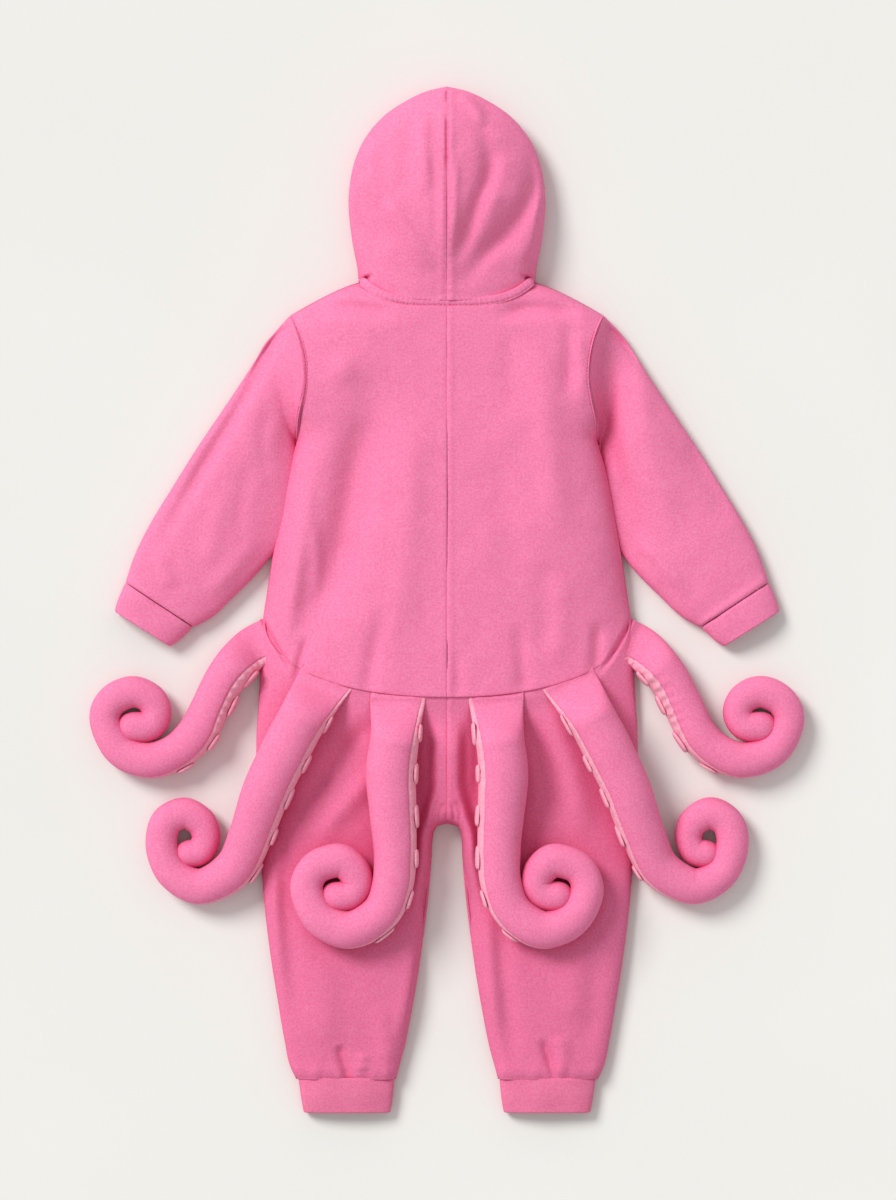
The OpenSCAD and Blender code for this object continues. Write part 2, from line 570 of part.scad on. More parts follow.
bodice_back("left");  // bodice_back_left
bodice_back("right");  // bodice_back_right
bodice_front("left");  // bodice_front_left
bodice_front("right");  // bodice_front_right
trouser_back("left");  // trouser_back_left
trouser_back("right");  // trouser_back_right
trouser_front("left");  // trouser_front_left
trouser_front("right");  // trouser_front_right
ankle_cuff("left");  // ankle_cuff_left
ankle_cuff("right");  // ankle_cuff_right
neck_binding();
care_label();
seam_threads();
zip_tape("left");  // zip_tape_left
zip_tape("right");  // zip_tape_right
zip_teeth("left");  // zip_teeth_left
zip_teeth("right");  // zip_teeth_right
zip_stops();
chin_guard();
zip_slider();
zip_pull();
hood("left");  // hood_left
hood("right");  // hood_right
face_binding();
sleeve("left");  // sleeve_left
sleeve("right");  // sleeve_right
wrist_cuff("left");  // wrist_cuff_left
wrist_cuff("right");  // wrist_cuff_right
tentacle_top("left", INNER, INNER_SEAM);  // inner_left_top
tentacle_underside("left", INNER, INNER_SEAM);  // inner_left_underside
tentacle_filling("left", INNER, INNER_SEAM);  // inner_left_filling
tentacle_suckers("left", INNER, INNER_SEAM, INNER_SUCKERS);  // inner_left_suckers
tentacle_top("left", MIDDLE, MIDDLE_SEAM);  // middle_left_top
tentacle_underside("left", MIDDLE, MIDDLE_SEAM);  // middle_left_underside
tentacle_filling("left", MIDDLE, MIDDLE_SEAM);  // middle_left_filling
tentacle_suckers("left", MIDDLE, MIDDLE_SEAM, MIDDLE_SUCKERS);  // middle_left_suckers
tentacle_top("left", OUTER, OUTER_SEAM);  // outer_left_top
tentacle_underside("left", OUTER, OUTER_SEAM);  // outer_left_underside
tentacle_filling("left", OUTER, OUTER_SEAM);  // outer_left_filling
tentacle_suckers("left", OUTER, OUTER_SEAM, OUTER_SUCKERS);  // outer_left_suckers
tentacle_top("right", INNER, INNER_SEAM);  // inner_right_top
tentacle_underside("right", INNER, INNER_SEAM);  // inner_right_underside
tentacle_filling("right", INNER, INNER_SEAM);  // inner_right_filling
tentacle_suckers("right", INNER, INNER_SEAM, INNER_SUCKERS);  // inner_right_suckers
tentacle_top("right", MIDDLE, MIDDLE_SEAM);  // middle_right_top
tentacle_underside("right", MIDDLE, MIDDLE_SEAM);  // middle_right_underside
tentacle_filling("right", MIDDLE, MIDDLE_SEAM);  // middle_right_filling
tentacle_suckers("right", MIDDLE, MIDDLE_SEAM, MIDDLE_SUCKERS);  // middle_right_suckers
tentacle_top("right", OUTER, OUTER_SEAM);  // outer_right_top
tentacle_underside("right", OUTER, OUTER_SEAM);  // outer_right_underside
tentacle_filling("right", OUTER, OUTER_SEAM);  // outer_right_filling
tentacle_suckers("right", OUTER, OUTER_SEAM, OUTER_SUCKERS);  // outer_right_suckers
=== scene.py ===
"""Child's hooded octopus suit in pink fleece, lying on its front with its back up.

The surfaces are worked out in millimetres in the frame of the CAD model: +Z up out of
the back, +Y towards the hood, +X towards the wearer's right. The right half is drawn,
the left is its mirror image, and each half then gets the folds it has of its own.
"""
import math

import bpy
import numpy as np
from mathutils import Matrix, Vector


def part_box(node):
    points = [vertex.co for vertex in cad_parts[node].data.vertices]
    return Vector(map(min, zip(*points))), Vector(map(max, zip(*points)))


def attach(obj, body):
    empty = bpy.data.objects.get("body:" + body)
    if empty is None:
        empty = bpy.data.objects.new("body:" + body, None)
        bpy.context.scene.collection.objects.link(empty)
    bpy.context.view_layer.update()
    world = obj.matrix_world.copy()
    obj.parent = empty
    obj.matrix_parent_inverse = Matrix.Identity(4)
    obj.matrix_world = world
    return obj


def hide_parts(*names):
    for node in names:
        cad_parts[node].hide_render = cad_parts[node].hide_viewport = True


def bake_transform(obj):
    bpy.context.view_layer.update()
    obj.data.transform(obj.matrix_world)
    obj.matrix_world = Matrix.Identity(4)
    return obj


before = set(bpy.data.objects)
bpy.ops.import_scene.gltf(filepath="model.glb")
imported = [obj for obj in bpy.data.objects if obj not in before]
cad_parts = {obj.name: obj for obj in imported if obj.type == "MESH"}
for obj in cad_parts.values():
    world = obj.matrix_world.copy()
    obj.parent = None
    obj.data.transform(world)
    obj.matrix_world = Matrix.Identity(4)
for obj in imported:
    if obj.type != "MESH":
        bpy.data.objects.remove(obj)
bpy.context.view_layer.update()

MM = 0.001

SIDES = {"left": -1, "right": 1}

# ---- Sizes, in millimetres, as in the CAD model ----------------------------------
FLEECE_T = 2.5
SEAM_H = 8
BACK_H = 46
LEG_H = 24
SLEEVE_H = 30
HOOD_H = 64
HOOD_SIDE_H = 20
HEM_Y = -97
WAIST_Y = -17
UNDERARM_Y = 160
NECK_X, NECK_BACK_Y, NECK_FRONT_Y, NECK_SIDE_Y = 88, 293, 288, 318
SHOULDER_X, SHOULDER_Y = 157, 285
ARMHOLE_X = 150
CROTCH_Y = -224
ANKLE_Y = -480
CUFF_END_Y = -513.5
ZIP_LIFT, ZIP_HALF = 5.5, 5.6
ZIP_END_Y = NECK_FRONT_Y - 436

# Side of the body and outside of the leg, and inside of the leg: y to x
OUTER_EDGE = [
    (-480, 151), (-470, 156), (-440, 163), (-405, 169), (-375, 174), (-340, 179), (-305, 183),
    (-270, 186), (-200, 190), (-140, 191), (-90, 188), (-17, 184), (10, 180), (50, 174),
    (90, 167), (130, 159), (160, 150),
]
INNER_EDGE = [
    (-480, 51), (-472, 49), (-450, 43), (-410, 35), (-375, 29), (-340, 24), (-300, 19),
    (-260, 15.5), (-238, 14), (-230, 12), (-226, 8), (-224, 0),
]
# Rows of the back below the arm: y in the middle, y at the side, drop of the crown
BODICE_ROWS = [(-97, -17, 6), (-66, 8, 4), (-25, 40, 2), (25, 74, 1), (75, 106, 0), (120, 135, 0),
               (160, 160, 0)]
# Armhole seam from the underarm to the shoulder: x and y
ARMHOLE = [(150, 160), (148.5, 180), (144.5, 199), (141.5, 217), (142, 236), (145, 254),
           (150, 270), (157, 285)]
# Rows of the trousers from the ankle up: y in the middle, y at the side, crown over LEG_H
LEG_ROWS = [(-480, -480, 0.8), (-455, -455, 0.86), (-415, -415, 0.95), (-360, -360, 1),
            (-300, -300, 1), (-258, -258, 1), (-240, -240, 1), (-231, -231, 1), (-224, -224, 1),
            (-210, -206, 1), (-190, -175, 1), (-165, -130, 1.03), (-138, -85, 1.12),
            (-117, -48, 1.3), (-94, -13.5, 1.61)]
BACK_COLS = [0, 0.14, 0.28, 0.42, 0.56, 0.68, 0.78, 0.88, 0.96, 1]
LEG_COLS = [0, 0.04, 0.14, 0.3, 0.5, 0.68, 0.82, 0.92, 0.98, 1]
# Sections of the sleeve: point under the arm, point over it, height
SLEEVE_ROWS = [
    (151, 160, 158.2, 284, 30), (153, 146, 179, 260, 30), (158, 117, 201, 226, 29),
    (165, 83, 225, 190, 28), (175, 48, 250, 153, 27), (192, 25, 275, 113, 26),
    (213, 4, 297, 77, 25), (234, -16, 312, 47, 24), (253.5, -27, 322, 18, 22),
]
WRIST_ROWS = [(254.5, -27.5, 322.3, 17.5, 22), (261, -33.5, 326, 9, 22), (269, -41, 330.5, -2, 21),
              (277.5, -46.5, 333, -11.5, 20)]
ANKLE_ROWS = [(52.5, -478, 149, -478, 19.2), (53.5, -490, 147.5, -490, 19.2),
              (55, -503, 145.5, -503, 18.6), (57, -513.5, 143.5, -513.5, 17.4)]
# Rays of the hood: outline, y on the centre seam, face opening, height at the centre seam
# and at the side fold
HOOD_RAYS = [
    (89, 322, 302.7, 30, 304, 41, 8), (90, 334, 316, 52, 316, 46, 12),
    (95, 360, 341, 66, 342, 54, 17), (98.5, 395, 365, 73, 376, 61, 20),
    (96, 424, 386, 72, 405, 64, 20), (89, 448, 404, 66, 428, 64, 20),
    (78, 467.5, 418, 56, 446, 64, 20), (62, 485, 429, 42, 459, 64, 20),
    (42, 498.5, 437, 27, 467, 63, 20), (21, 508.5, 442, 13, 471, 63, 20),
    (0, 513.5, 445, 0, 472, 63, 20),
]
# Underside of the hood: share of the way to the face opening, share of the side's height
HOOD_UNDER = [(0, 1), (0.02, 0.5), (0.16, 0.1), (0.45, 0), (1, 0)]

# Knots along the middle of each tentacle: x, y, half width, height of what it lies on
TENTACLES = {
    "inner": {
        "knots": [
            (49, -98.5, 28, 38), (52, -135, 25, 27), (56, -172, 25.5, 24.6), (54, -212, 24, 24.6),
            (52, -250, 22, 24.4), (54, -283, 21, 24.4), (67, -312, 20, 24.6), (96, -328.5, 19.4, 24.6),
            (125.5, -317.5, 18, 24.6), (139.5, -290, 17, 24.6), (132, -268.5, 17, 24.6),
            (109, -259.5, 17.6, 24.6), (94.5, -268, 17, 24.6), (89.5, -283, 16, 24.6),
            (97, -293.5, 15.6, 24.6), (110, -295.5, 15.6, 24.6), (125, -293, 14.6, 24.6)],
        "seam": [(20, -98.6, 40.8), (77, -96.8, 39.4)],
        "under_seam": [(0, 24), (0.8, 40), (2, 43), (4.2, 41), (5.5, 34), (6.6, 18), (8, -8), (16, -14)],
        "sink": 3.4, "ruffle": 0.3, "suckers": [0.9, 2, 3.1, 4.2, 5.3, 6.3]},
    "middle": {
        "knots": [
            (122, -81, 28, 32), (143, -116, 25, 24.5), (164, -156, 25, 21), (181, -192, 24.5, 17),
            (195, -232, 22.5, 11), (213, -268, 21, 3), (246, -286.5, 18.7, 0.8), (274, -274, 17, 0.8),
            (285.5, -246, 16.6, 0.8), (280.5, -222.5, 16.6, 0.8), (263, -213.5, 16.4, 0.8),
            (247, -222, 15.5, 0.8), (241.5, -237, 14.6, 0.8), (247, -250.5, 14.4, 0.8),
            (258.5, -254, 14.3, 0.8), (272.5, -252, 13.5, 0.8)],
        "seam": [(97, -92.2, 38), (148, -69, 31)],
        "under_seam": [(0, 20), (0.8, 33), (2, 38), (4, 38), (5, 30), (6, 14), (7.5, -8), (15, -14)],
        "sink": 2.8, "ruffle": 0.3, "suckers": [0.9, 1.9, 2.9, 3.9, 4.8]},
    "outer": {
        "knots": [
            (179.5, -39, 22, 14.5), (198, -51, 22, 1.5), (220, -76, 21, 0.8), (236, -106, 20, 0.8),
            (251, -134, 20, 0.8), (271, -152, 19, 0.8), (298, -160.5, 18.4, 0.8), (327, -150, 16.8, 0.8),
            (342.3, -122, 16, 0.8), (336, -102, 16.4, 0.8), (316, -92, 16.6, 0.8),
            (298, -98, 16, 0.8), (291, -112, 15.4, 0.8), (297.5, -125, 15.6, 0.8),
            (313, -127, 15.8, 0.8), (329, -123, 14.8, 0.8)],
        "seam": [(169, -58.5, 24), (188.5, -19, 9.5)],
        "under_seam": [(0, 34), (1, 52), (2, 60), (3, 56), (4.4, 40), (5.6, 22), (7, -4), (15, -14)],
        "sink": 3.2, "ruffle": 1.1, "suckers": [1.6, 2.7, 3.9, 5]},
}
UNDER_BOTTOM = -112
TIP_KNOTS = 0.9
BASE_HALF_H = 2
BASE_LEAD = 0.18
FOLD_DEPTH = 1.6
SWELL_LEN = 46


# ---- Curves ----------------------------------------------------------------------
def smooth(t):
    c = np.clip(t, 0, 1)
    return c * c * (3 - 2 * c)


def mix(a, b, t):
    return a + (b - a) * t


def bump(t):
    """A soft hump: 1 at 0, falling away to nothing by about 2."""
    return np.exp(-np.square(t))


def dome(u):
    """Rounded cross profile: 1 in the middle, 0 at either edge."""
    return np.sqrt(np.maximum(1 - np.minimum(np.abs(u), 1) ** 2.6, 0))


def ridged(u):
    """Cross profile of the hood, which stands up along its centre seam."""
    return np.maximum(1 - np.abs(np.clip(u, -1, 1)) ** 1.6, 0) ** 0.68


def rolled(d):
    """Rolled edge: 1 on the edge, 0 from one roll width inwards."""
    return 1 - np.sqrt(1 - (1 - np.clip(d / 14, 0, 1)) ** 2)


def bowed(u):
    return 1 - (1 - np.clip(u, 0, 1) ** 2.2) ** (1 / 2.2)


def through(knots, t):
    """Points of the smooth curve through the knots, at positions t counted in knots."""
    p = np.asarray(knots, float)
    t = np.clip(np.asarray(t, float), 0, len(p) - 1)
    i = np.minimum(t.astype(int), len(p) - 2)
    f = t - i
    if p.ndim > 1:
        f = f[..., None]
    a, b, c, d = p[np.maximum(i - 1, 0)], p[i], p[i + 1], p[np.minimum(i + 2, len(p) - 1)]
    return 0.5 * (2 * b + (c - a) * f + (2 * a - 5 * b + 4 * c - d) * f ** 2
                  + (3 * b - a - 3 * c + d) * f ** 3)


def looked_up(y, table):
    """The smooth curve through a table of (y, x), with y rising."""
    ys, xs = np.asarray(table, float).T
    slope = np.gradient(xs, ys)
    y = np.clip(y, ys[0], ys[-1])
    i = np.clip(np.searchsorted(ys, y) - 1, 0, len(ys) - 2)
    h = ys[i + 1] - ys[i]
    s = (y - ys[i]) / h
    return ((2 * s ** 3 - 3 * s ** 2 + 1) * xs[i] + (s ** 3 - 2 * s ** 2 + s) * h * slope[i]
            + (3 * s ** 2 - 2 * s ** 3) * xs[i + 1] + (s ** 3 - s ** 2) * h * slope[i + 1])


def uneven(x, y, size, seed):
    """Gentle unevenness between about -1 and 1 with features of about the given size."""
    total = 0
    for k in range(5):
        turn = 2.4 * k + 1.7 * seed
        pitch = 2 * np.pi / (size * (1.5 + 0.37 * ((k * 7 + seed * 3) % 5)))
        along = x * np.cos(turn) + y * np.sin(turn)
        across = y * np.cos(turn) - x * np.sin(turn)
        total = total + np.sin(along * pitch + 0.8 * np.sin(across * pitch * 0.6 + k) + 5.3 * k + seed)
    return total / 3


def from_line(x, y, points):
    """Distance from a line of (x, y) points, and how far along it the nearest place is, from 0 to 1."""
    nearest = np.full(x.shape, 1e9)
    place = np.zeros(x.shape)
    for k in range(len(points) - 1):
        a, d = points[k], points[k + 1] - points[k]
        s = np.clip(((x - a[0]) * d[0] + (y - a[1]) * d[1]) / (d @ d), 0, 1)
        r = np.hypot(x - a[0] - s * d[0], y - a[1] - s * d[1])
        closer = r < nearest
        nearest = np.where(closer, r, nearest)
        place = np.where(closer, k + s, place)
    return nearest, place / (len(points) - 1)


def fold(x, y, path, width, height):
    """Height added along a path of (x, y) points by a soft fold that fades out at its ends."""
    points = through(path, np.linspace(0, len(path) - 1, 6 * (len(path) - 1) + 1))
    distance, place = from_line(x, y, points)
    return height * bump(distance / width) * smooth(np.minimum(place, 1 - place) / 0.32)


def folds(x, y, strokes):
    """All the folds of a panel: each is a path, a width and a height."""
    return FOLD_DEPTH * sum(fold(x, y, path, width, height) for path, width, height in strokes)


# ---- Meshes ----------------------------------------------------------------------
def make_object(name, points, quads, triangles=()):
    """A smooth-shaded object from points in millimetres."""
    points = np.asarray(points, np.float32).reshape(-1, 3) * MM
    quads = np.asarray(quads, np.int32).reshape(-1, 4)
    triangles = np.asarray(triangles, np.int32).reshape(-1, 3)
    mesh = bpy.data.meshes.new(name)
    mesh.vertices.add(len(points))
    mesh.vertices.foreach_set("co", points.ravel())
    loops = np.concatenate([quads.ravel(), triangles.ravel()]).astype(np.int32)
    mesh.loops.add(len(loops))
    mesh.loops.foreach_set("vertex_index", loops)
    count = len(quads) + len(triangles)
    starts = np.concatenate([np.arange(len(quads)) * 4,
                             len(quads) * 4 + np.arange(len(triangles)) * 3]).astype(np.int32)
    mesh.polygons.add(count)
    mesh.polygons.foreach_set("loop_start", starts)
    mesh.update(calc_edges=True)
    mesh.validate()
    mesh.polygons.foreach_set("use_smooth", np.ones(len(mesh.polygons), bool))
    made = bpy.data.objects.new(name, mesh)
    bpy.context.scene.collection.objects.link(made)
    return made


def grid_normals(grid, wrapped):
    if wrapped:
        across = np.roll(grid, -1, 1) - np.roll(grid, 1, 1)
    else:
        across = np.gradient(grid, axis=1)
    n = np.cross(across, np.gradient(grid, axis=0))
    return n / np.maximum(np.linalg.norm(n, axis=2, keepdims=True), 1e-6)


def facing(grid, wrapped, out):
    """The grid with its columns turned round if its normals point in rather than out.

    out is a direction, or None for a tube, whose outside faces away from its middle.
    """
    n = grid_normals(grid, wrapped)
    away = grid - grid.mean(axis=1, keepdims=True) if out is None else np.asarray(out, float)
    return grid if (n * away).sum() > 0 else grid[:, ::-1]


def grid_quads(rows, cols, first, wrapped, flipped=False):
    i, j = np.meshgrid(np.arange(rows - 1), np.arange(cols if wrapped else cols - 1), indexing="ij")
    k = (j + 1) % cols
    corners = [i * cols + j, i * cols + k, (i + 1) * cols + k, (i + 1) * cols + j]
    if flipped:
        corners.reverse()
    return np.stack(corners, -1).reshape(-1, 4) + first


def cloth(name, grid, out=(0, 0, 1), wrapped=False, thick=FLEECE_T):
    """A piece of cloth whose outer face is the grid, with its thickness inside it."""
    grid = facing(grid, wrapped, out)
    rows, cols = grid.shape[:2]
    inner = grid - grid_normals(grid, wrapped) * thick
    size = rows * cols
    parts = [grid_quads(rows, cols, 0, wrapped), grid_quads(rows, cols, size, wrapped, flipped=True)]
    j = np.arange(cols if wrapped else cols - 1)
    k = (j + 1) % cols
    last = (rows - 1) * cols
    parts.append(np.stack([k, j, size + j, size + k], -1))
    parts.append(np.stack([last + j, last + k, size + last + k, size + last + j], -1))
    if not wrapped:
        i = np.arange(rows - 1) * cols
        parts.append(np.stack([i, i + cols, size + i + cols, size + i], -1))
        i = i + cols - 1
        parts.append(np.stack([i + cols, i, size + i, size + i + cols], -1))
    return make_object(name, np.concatenate([grid.reshape(-1, 3), inner.reshape(-1, 3)]),
                       np.concatenate(parts))


def stuffed(name, grid, wrapped=True):
    """A closed or open skin with no inside of its own, over the filling."""
    grid = facing(grid, wrapped, None)
    return make_object(name, grid, grid_quads(grid.shape[0], grid.shape[1], 0, wrapped))


def on_side(grid, side):
    return grid * np.array([SIDES[side], 1, 1.0])


def tidy_piece(piece, body, material, slot, *nodes):
    """Gives a piece its material, hides the CAD nodes it stands for, and fixes its body; slot is not used."""
    piece.data.materials.append(material)
    if nodes:
        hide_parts(*nodes)
    if body:
        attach(piece, body)
    return piece


# ---- Materials -------------------------------------------------------------------
def new_material(name):
    material = bpy.data.materials.new(name)
    material.use_nodes = True
    nodes = material.node_tree.nodes
    return material, nodes, material.node_tree.links, nodes["Principled BSDF"]


def noise(nodes, links, place, scale, detail, rough=0.5, kind="ShaderNodeTexNoise"):
    texture = nodes.new(kind)
    texture.inputs["Scale"].default_value = scale
    texture.inputs["Detail"].default_value = detail
    texture.inputs["Roughness"].default_value = rough
    links.new(place, texture.inputs["Vector"])
    return texture.outputs[0]


def ramp(nodes, links, value, low, high, at=(0.3, 0.7)):
    """Colours from low to high as the value goes from at[0] to at[1]."""
    shade = nodes.new("ShaderNodeValToRGB")
    shade.color_ramp.elements[0].position, shade.color_ramp.elements[1].position = at
    shade.color_ramp.elements[0].color = (*low, 1)
    shade.color_ramp.elements[1].color = (*high, 1)
    links.new(value, shade.inputs["Fac"])
    return shade.outputs["Color"]


def blended(nodes, links, kind, amount, a, b):
    node = nodes.new("ShaderNodeMix")
    node.data_type = "RGBA"
    node.blend_type = kind
    if isinstance(amount, float):
        node.inputs["Factor"].default_value = amount
    else:
        links.new(amount, node.inputs["Factor"])
    links.new(a, node.inputs[6])
    links.new(b, node.inputs[7])
    return node.outputs[2]


def fleece(name, colour, lower=None):
    """Brushed fleece: short matted pile in soft pebbles, with painted shade deepening the colour down in the
    folds.

    lower is the colour towards the ankles: the colour grows darker down the legs.
    """
    material, nodes, links, shader = new_material(name)
    place = nodes.new("ShaderNodeTexCoord").outputs["Object"]
    pebbles = noise(nodes, links, place, 480, 2.5, 0.6)
    pile = noise(nodes, links, place, 1500, 2, 0.6)
    patches = noise(nodes, links, place, 45, 3)
    dark = [c * k for c, k in zip(colour, (0.96, 0.84, 0.89))]
    light = [min(c * k, 1) for c, k in zip(colour, (1.03, 1.2, 1.12))]
    base = ramp(nodes, links, pebbles, dark, light, (0.33, 0.68))
    if lower:
        axes = nodes.new("ShaderNodeSeparateXYZ")
        links.new(place, axes.inputs[0])
        height = nodes.new("ShaderNodeMapRange")
        height.inputs["From Min"].default_value = -0.20
        height.inputs["From Max"].default_value = -0.11
        links.new(axes.outputs["Y"], height.inputs["Value"])
        tint = ramp(nodes, links, height.outputs[0], [b / a for a, b in zip(colour, lower)], (1, 1, 1), (0, 1))
        base = blended(nodes, links, "MULTIPLY", 1.0, base, tint)
    # Painted shade: ambient occlusion darkens the base colour to a deeper pink in folds, creases and the gaps
    # between parts.
    painted_shade_occlusion = nodes.new("ShaderNodeAmbientOcclusion")
    painted_shade_occlusion.samples = 6
    painted_shade_occlusion.inputs["Distance"].default_value = 0.04
    deep = ramp(nodes, links, painted_shade_occlusion.outputs["AO"], (0.85, 0.38, 0.57), (1, 1, 1), (0.1, 0.9))
    base = blended(nodes, links, "MULTIPLY", 1.0, base, deep)
    soft = ramp(nodes, links, patches, (0.98, 0.97, 0.975), (1, 1, 1), (0.35, 0.62))
    fibres = ramp(nodes, links, pile, (0.96, 0.94, 0.95), (1, 1, 1), (0.32, 0.6))
    base = blended(nodes, links, "MULTIPLY", 1.0, base, soft)
    base = blended(nodes, links, "MULTIPLY", 1.0, base, fibres)
    links.new(base, shader.inputs["Base Color"])
    shader.inputs["Roughness"].default_value = 0.95
    shader.inputs["Specular IOR Level"].default_value = 0.08
    shader.inputs["Sheen Weight"].default_value = 0.16
    shader.inputs["Sheen Roughness"].default_value = 0.3
    shader.inputs["Sheen Tint"].default_value = (1, 0.6, 0.75, 1)
    relief = nodes.new("ShaderNodeBump")
    relief.inputs["Strength"].default_value = 0.5
    relief.inputs["Distance"].default_value = 0.0007
    links.new(pebbles, relief.inputs["Height"])
    fine = nodes.new("ShaderNodeBump")
    fine.inputs["Strength"].default_value = 0.4
    fine.inputs["Distance"].default_value = 0.0004
    links.new(pile, fine.inputs["Height"])
    links.new(relief.outputs["Normal"], fine.inputs["Normal"])
    links.new(fine.outputs["Normal"], shader.inputs["Normal"])
    return material


def woven(name, colour, pitch, rough=0.7):
    """Plain woven cloth: crossing threads at the given pitch in metres."""
    material, nodes, links, shader = new_material(name)
    place = nodes.new("ShaderNodeTexCoord").outputs["Object"]
    threads = []
    for direction in ("X", "Y"):
        wave = nodes.new("ShaderNodeTexWave")
        wave.bands_direction = direction
        wave.inputs["Scale"].default_value = 0.31 / pitch
        wave.inputs["Distortion"].default_value = 0.6
        wave.inputs["Detail Scale"].default_value = 2
        links.new(place, wave.inputs["Vector"])
        threads.append(wave.outputs["Fac"])
    height = nodes.new("ShaderNodeMath")
    height.operation = "MAXIMUM"
    links.new(threads[0], height.inputs[0])
    links.new(threads[1], height.inputs[1])
    dark = [c * 0.72 for c in colour]
    base = ramp(nodes, links, height.outputs[0], dark, colour, (0.2, 0.9))
    wear = ramp(nodes, links, noise(nodes, links, place, 90, 3), (0.9, 0.9, 0.9), (1, 1, 1))
    links.new(blended(nodes, links, "MULTIPLY", 1.0, base, wear), shader.inputs["Base Color"])
    shader.inputs["Roughness"].default_value = rough
    shader.inputs["Sheen Weight"].default_value = 0.15
    relief = nodes.new("ShaderNodeBump")
    relief.inputs["Strength"].default_value = 0.5
    relief.inputs["Distance"].default_value = 0.0003
    links.new(height.outputs[0], relief.inputs["Height"])
    links.new(relief.outputs["Normal"], shader.inputs["Normal"])
    return material


def moulded(name, colour):
    """Moulded nylon with a faint grain and slightly uneven gloss."""
    material, nodes, links, shader = new_material(name)
    place = nodes.new("ShaderNodeTexCoord").outputs["Object"]
    grain = noise(nodes, links, place, 2500, 2)
    dark = [c * 0.9 for c in colour]
    links.new(ramp(nodes, links, noise(nodes, links, place, 300, 3), dark, colour),
              shader.inputs["Base Color"])
    links.new(ramp(nodes, links, grain, (0.32,) * 3, (0.48,) * 3), shader.inputs["Roughness"])
    relief = nodes.new("ShaderNodeBump")
    relief.inputs["Strength"].default_value = 0.15
    relief.inputs["Distance"].default_value = 0.0002
    links.new(grain, relief.inputs["Height"])
    links.new(relief.outputs["Normal"], shader.inputs["Normal"])
    return material


PINK = (0.925, 0.233, 0.44)
PINK_FLEECE = fleece("pink_fleece", PINK)
LEG_FLEECE = fleece("trouser_fleece", PINK, (0.82, 0.18, 0.355))
ANKLE_FLEECE = fleece("ankle_fleece", (0.83, 0.195, 0.36))
PALE_FLEECE = fleece("pale_fleece", (0.97, 0.42, 0.56))
TAPE = woven("zip_tape_weave", (0.82, 0.19, 0.36), 0.0008)
NYLON = moulded("pink_nylon", (0.93, 0.36, 0.52))
THREAD = woven("sewing_thread", (0.80, 0.17, 0.33), 0.0004)
LABEL = woven("label_satin", (0.90, 0.90, 0.88), 0.0005, 0.45)


# ---- Back ------------------------------------------------------------------------
def shoulder_line(x):
    t = np.clip((x - NECK_X) / (SHOULDER_X - NECK_X), 0, 1)
    return np.where(x < NECK_X, NECK_SIDE_Y + 0.3 * (NECK_X - x), mix(NECK_SIDE_Y, SHOULDER_Y, t ** 1.25))


def back_neckline(x):
    return mix(NECK_BACK_Y, NECK_SIDE_Y, np.clip(x / NECK_X, 0, 1) ** 4)


def front_neckline(x):
    return mix(NECK_FRONT_Y, NECK_SIDE_Y, np.clip(x / NECK_X, 0, 1) ** 2.2)


def back_z(x, w, h, d, full):
    """Height of the back: full is 1 where its sides stand up steeply, 0 where they slope away."""
    u = np.minimum(np.abs(x / w), 1)
    side = mix(dome(u), (1 - u ** 5) ** 0.42, full)
    return SEAM_H + (h - SEAM_H) * side * dome(1 - np.clip(d / 55, 0, 1))


# Soft folds of each half of the back: path, width, height
BACK_FOLDS = {
    "left": [
        ([(-54, 240), (-76, 182), (-90, 131), (-100, 80), (-114, 26), (-138, -24), (-164, -76)], 23, -7.4),
        ([(-78, 186), (-92, 120), (-102, 60), (-118, 0)], 19, -3.4),
        ([(-34, 196), (-36, 110), (-44, 20), (-62, -60)], 17, 2.4),
        ([(-134, 150), (-144, 70), (-154, 5), (-160, -50)], 9, 2.6),
        ([(-60, 0), (-74, -60), (-80, -100)], 9, -2.2),
        ([(-138, -34), (-146, -60), (-152, -86)], 5, -2.6),
        ([(-146, 286), (-104, 292), (-50, 284)], 8, -4),
        ([(-135, 90), (-130, 40), (-132, 0)], 7, 1.5),
    ],
    "right": [
        ([(90, 268), (98, 200), (106, 120), (112, 50)], 16, 2.4),
        ([(62, 276), (62, 235), (64, 180)], 13, -1.3),
        ([(52, 160), (58, 80), (70, 0)], 16, -1.2),
        ([(122, 284), (123, 245), (120, 196)], 9, -1.9),
        ([(128, 268), (133, 236), (136, 190)], 8, 1.6),
        ([(150, -20), (150, -50), (147, -78)], 7, -2.4),
        ([(70, -20), (75, -64), (78, -100)], 8, -2),
        ([(9, -50), (11, -78), (12, -98)], 6, -1.2),
        ([(46, 284), (94, 291), (136, 284)], 8, -4),
        ([(96, 40), (100, -10), (98, -60)], 14, -1.4),
        ([(112, 30), (112, -20), (108, -70)], 12, 1.2),
    ],
}


def seam_relief(x, y):
    """The pressed seam down the middle of the back: a narrow groove beside a soft ridge."""
    stitches = 0.12 * np.sin(y * 2 * np.pi / 6.5) * bump((np.abs(x) - 3.5) / 2.5)
    return -0.55 * bump(x / 1.4) + 0.7 * bump((x - 3.6) / 2.6) + 0.2 * bump((x + 4.2) / 2.8) + stitches


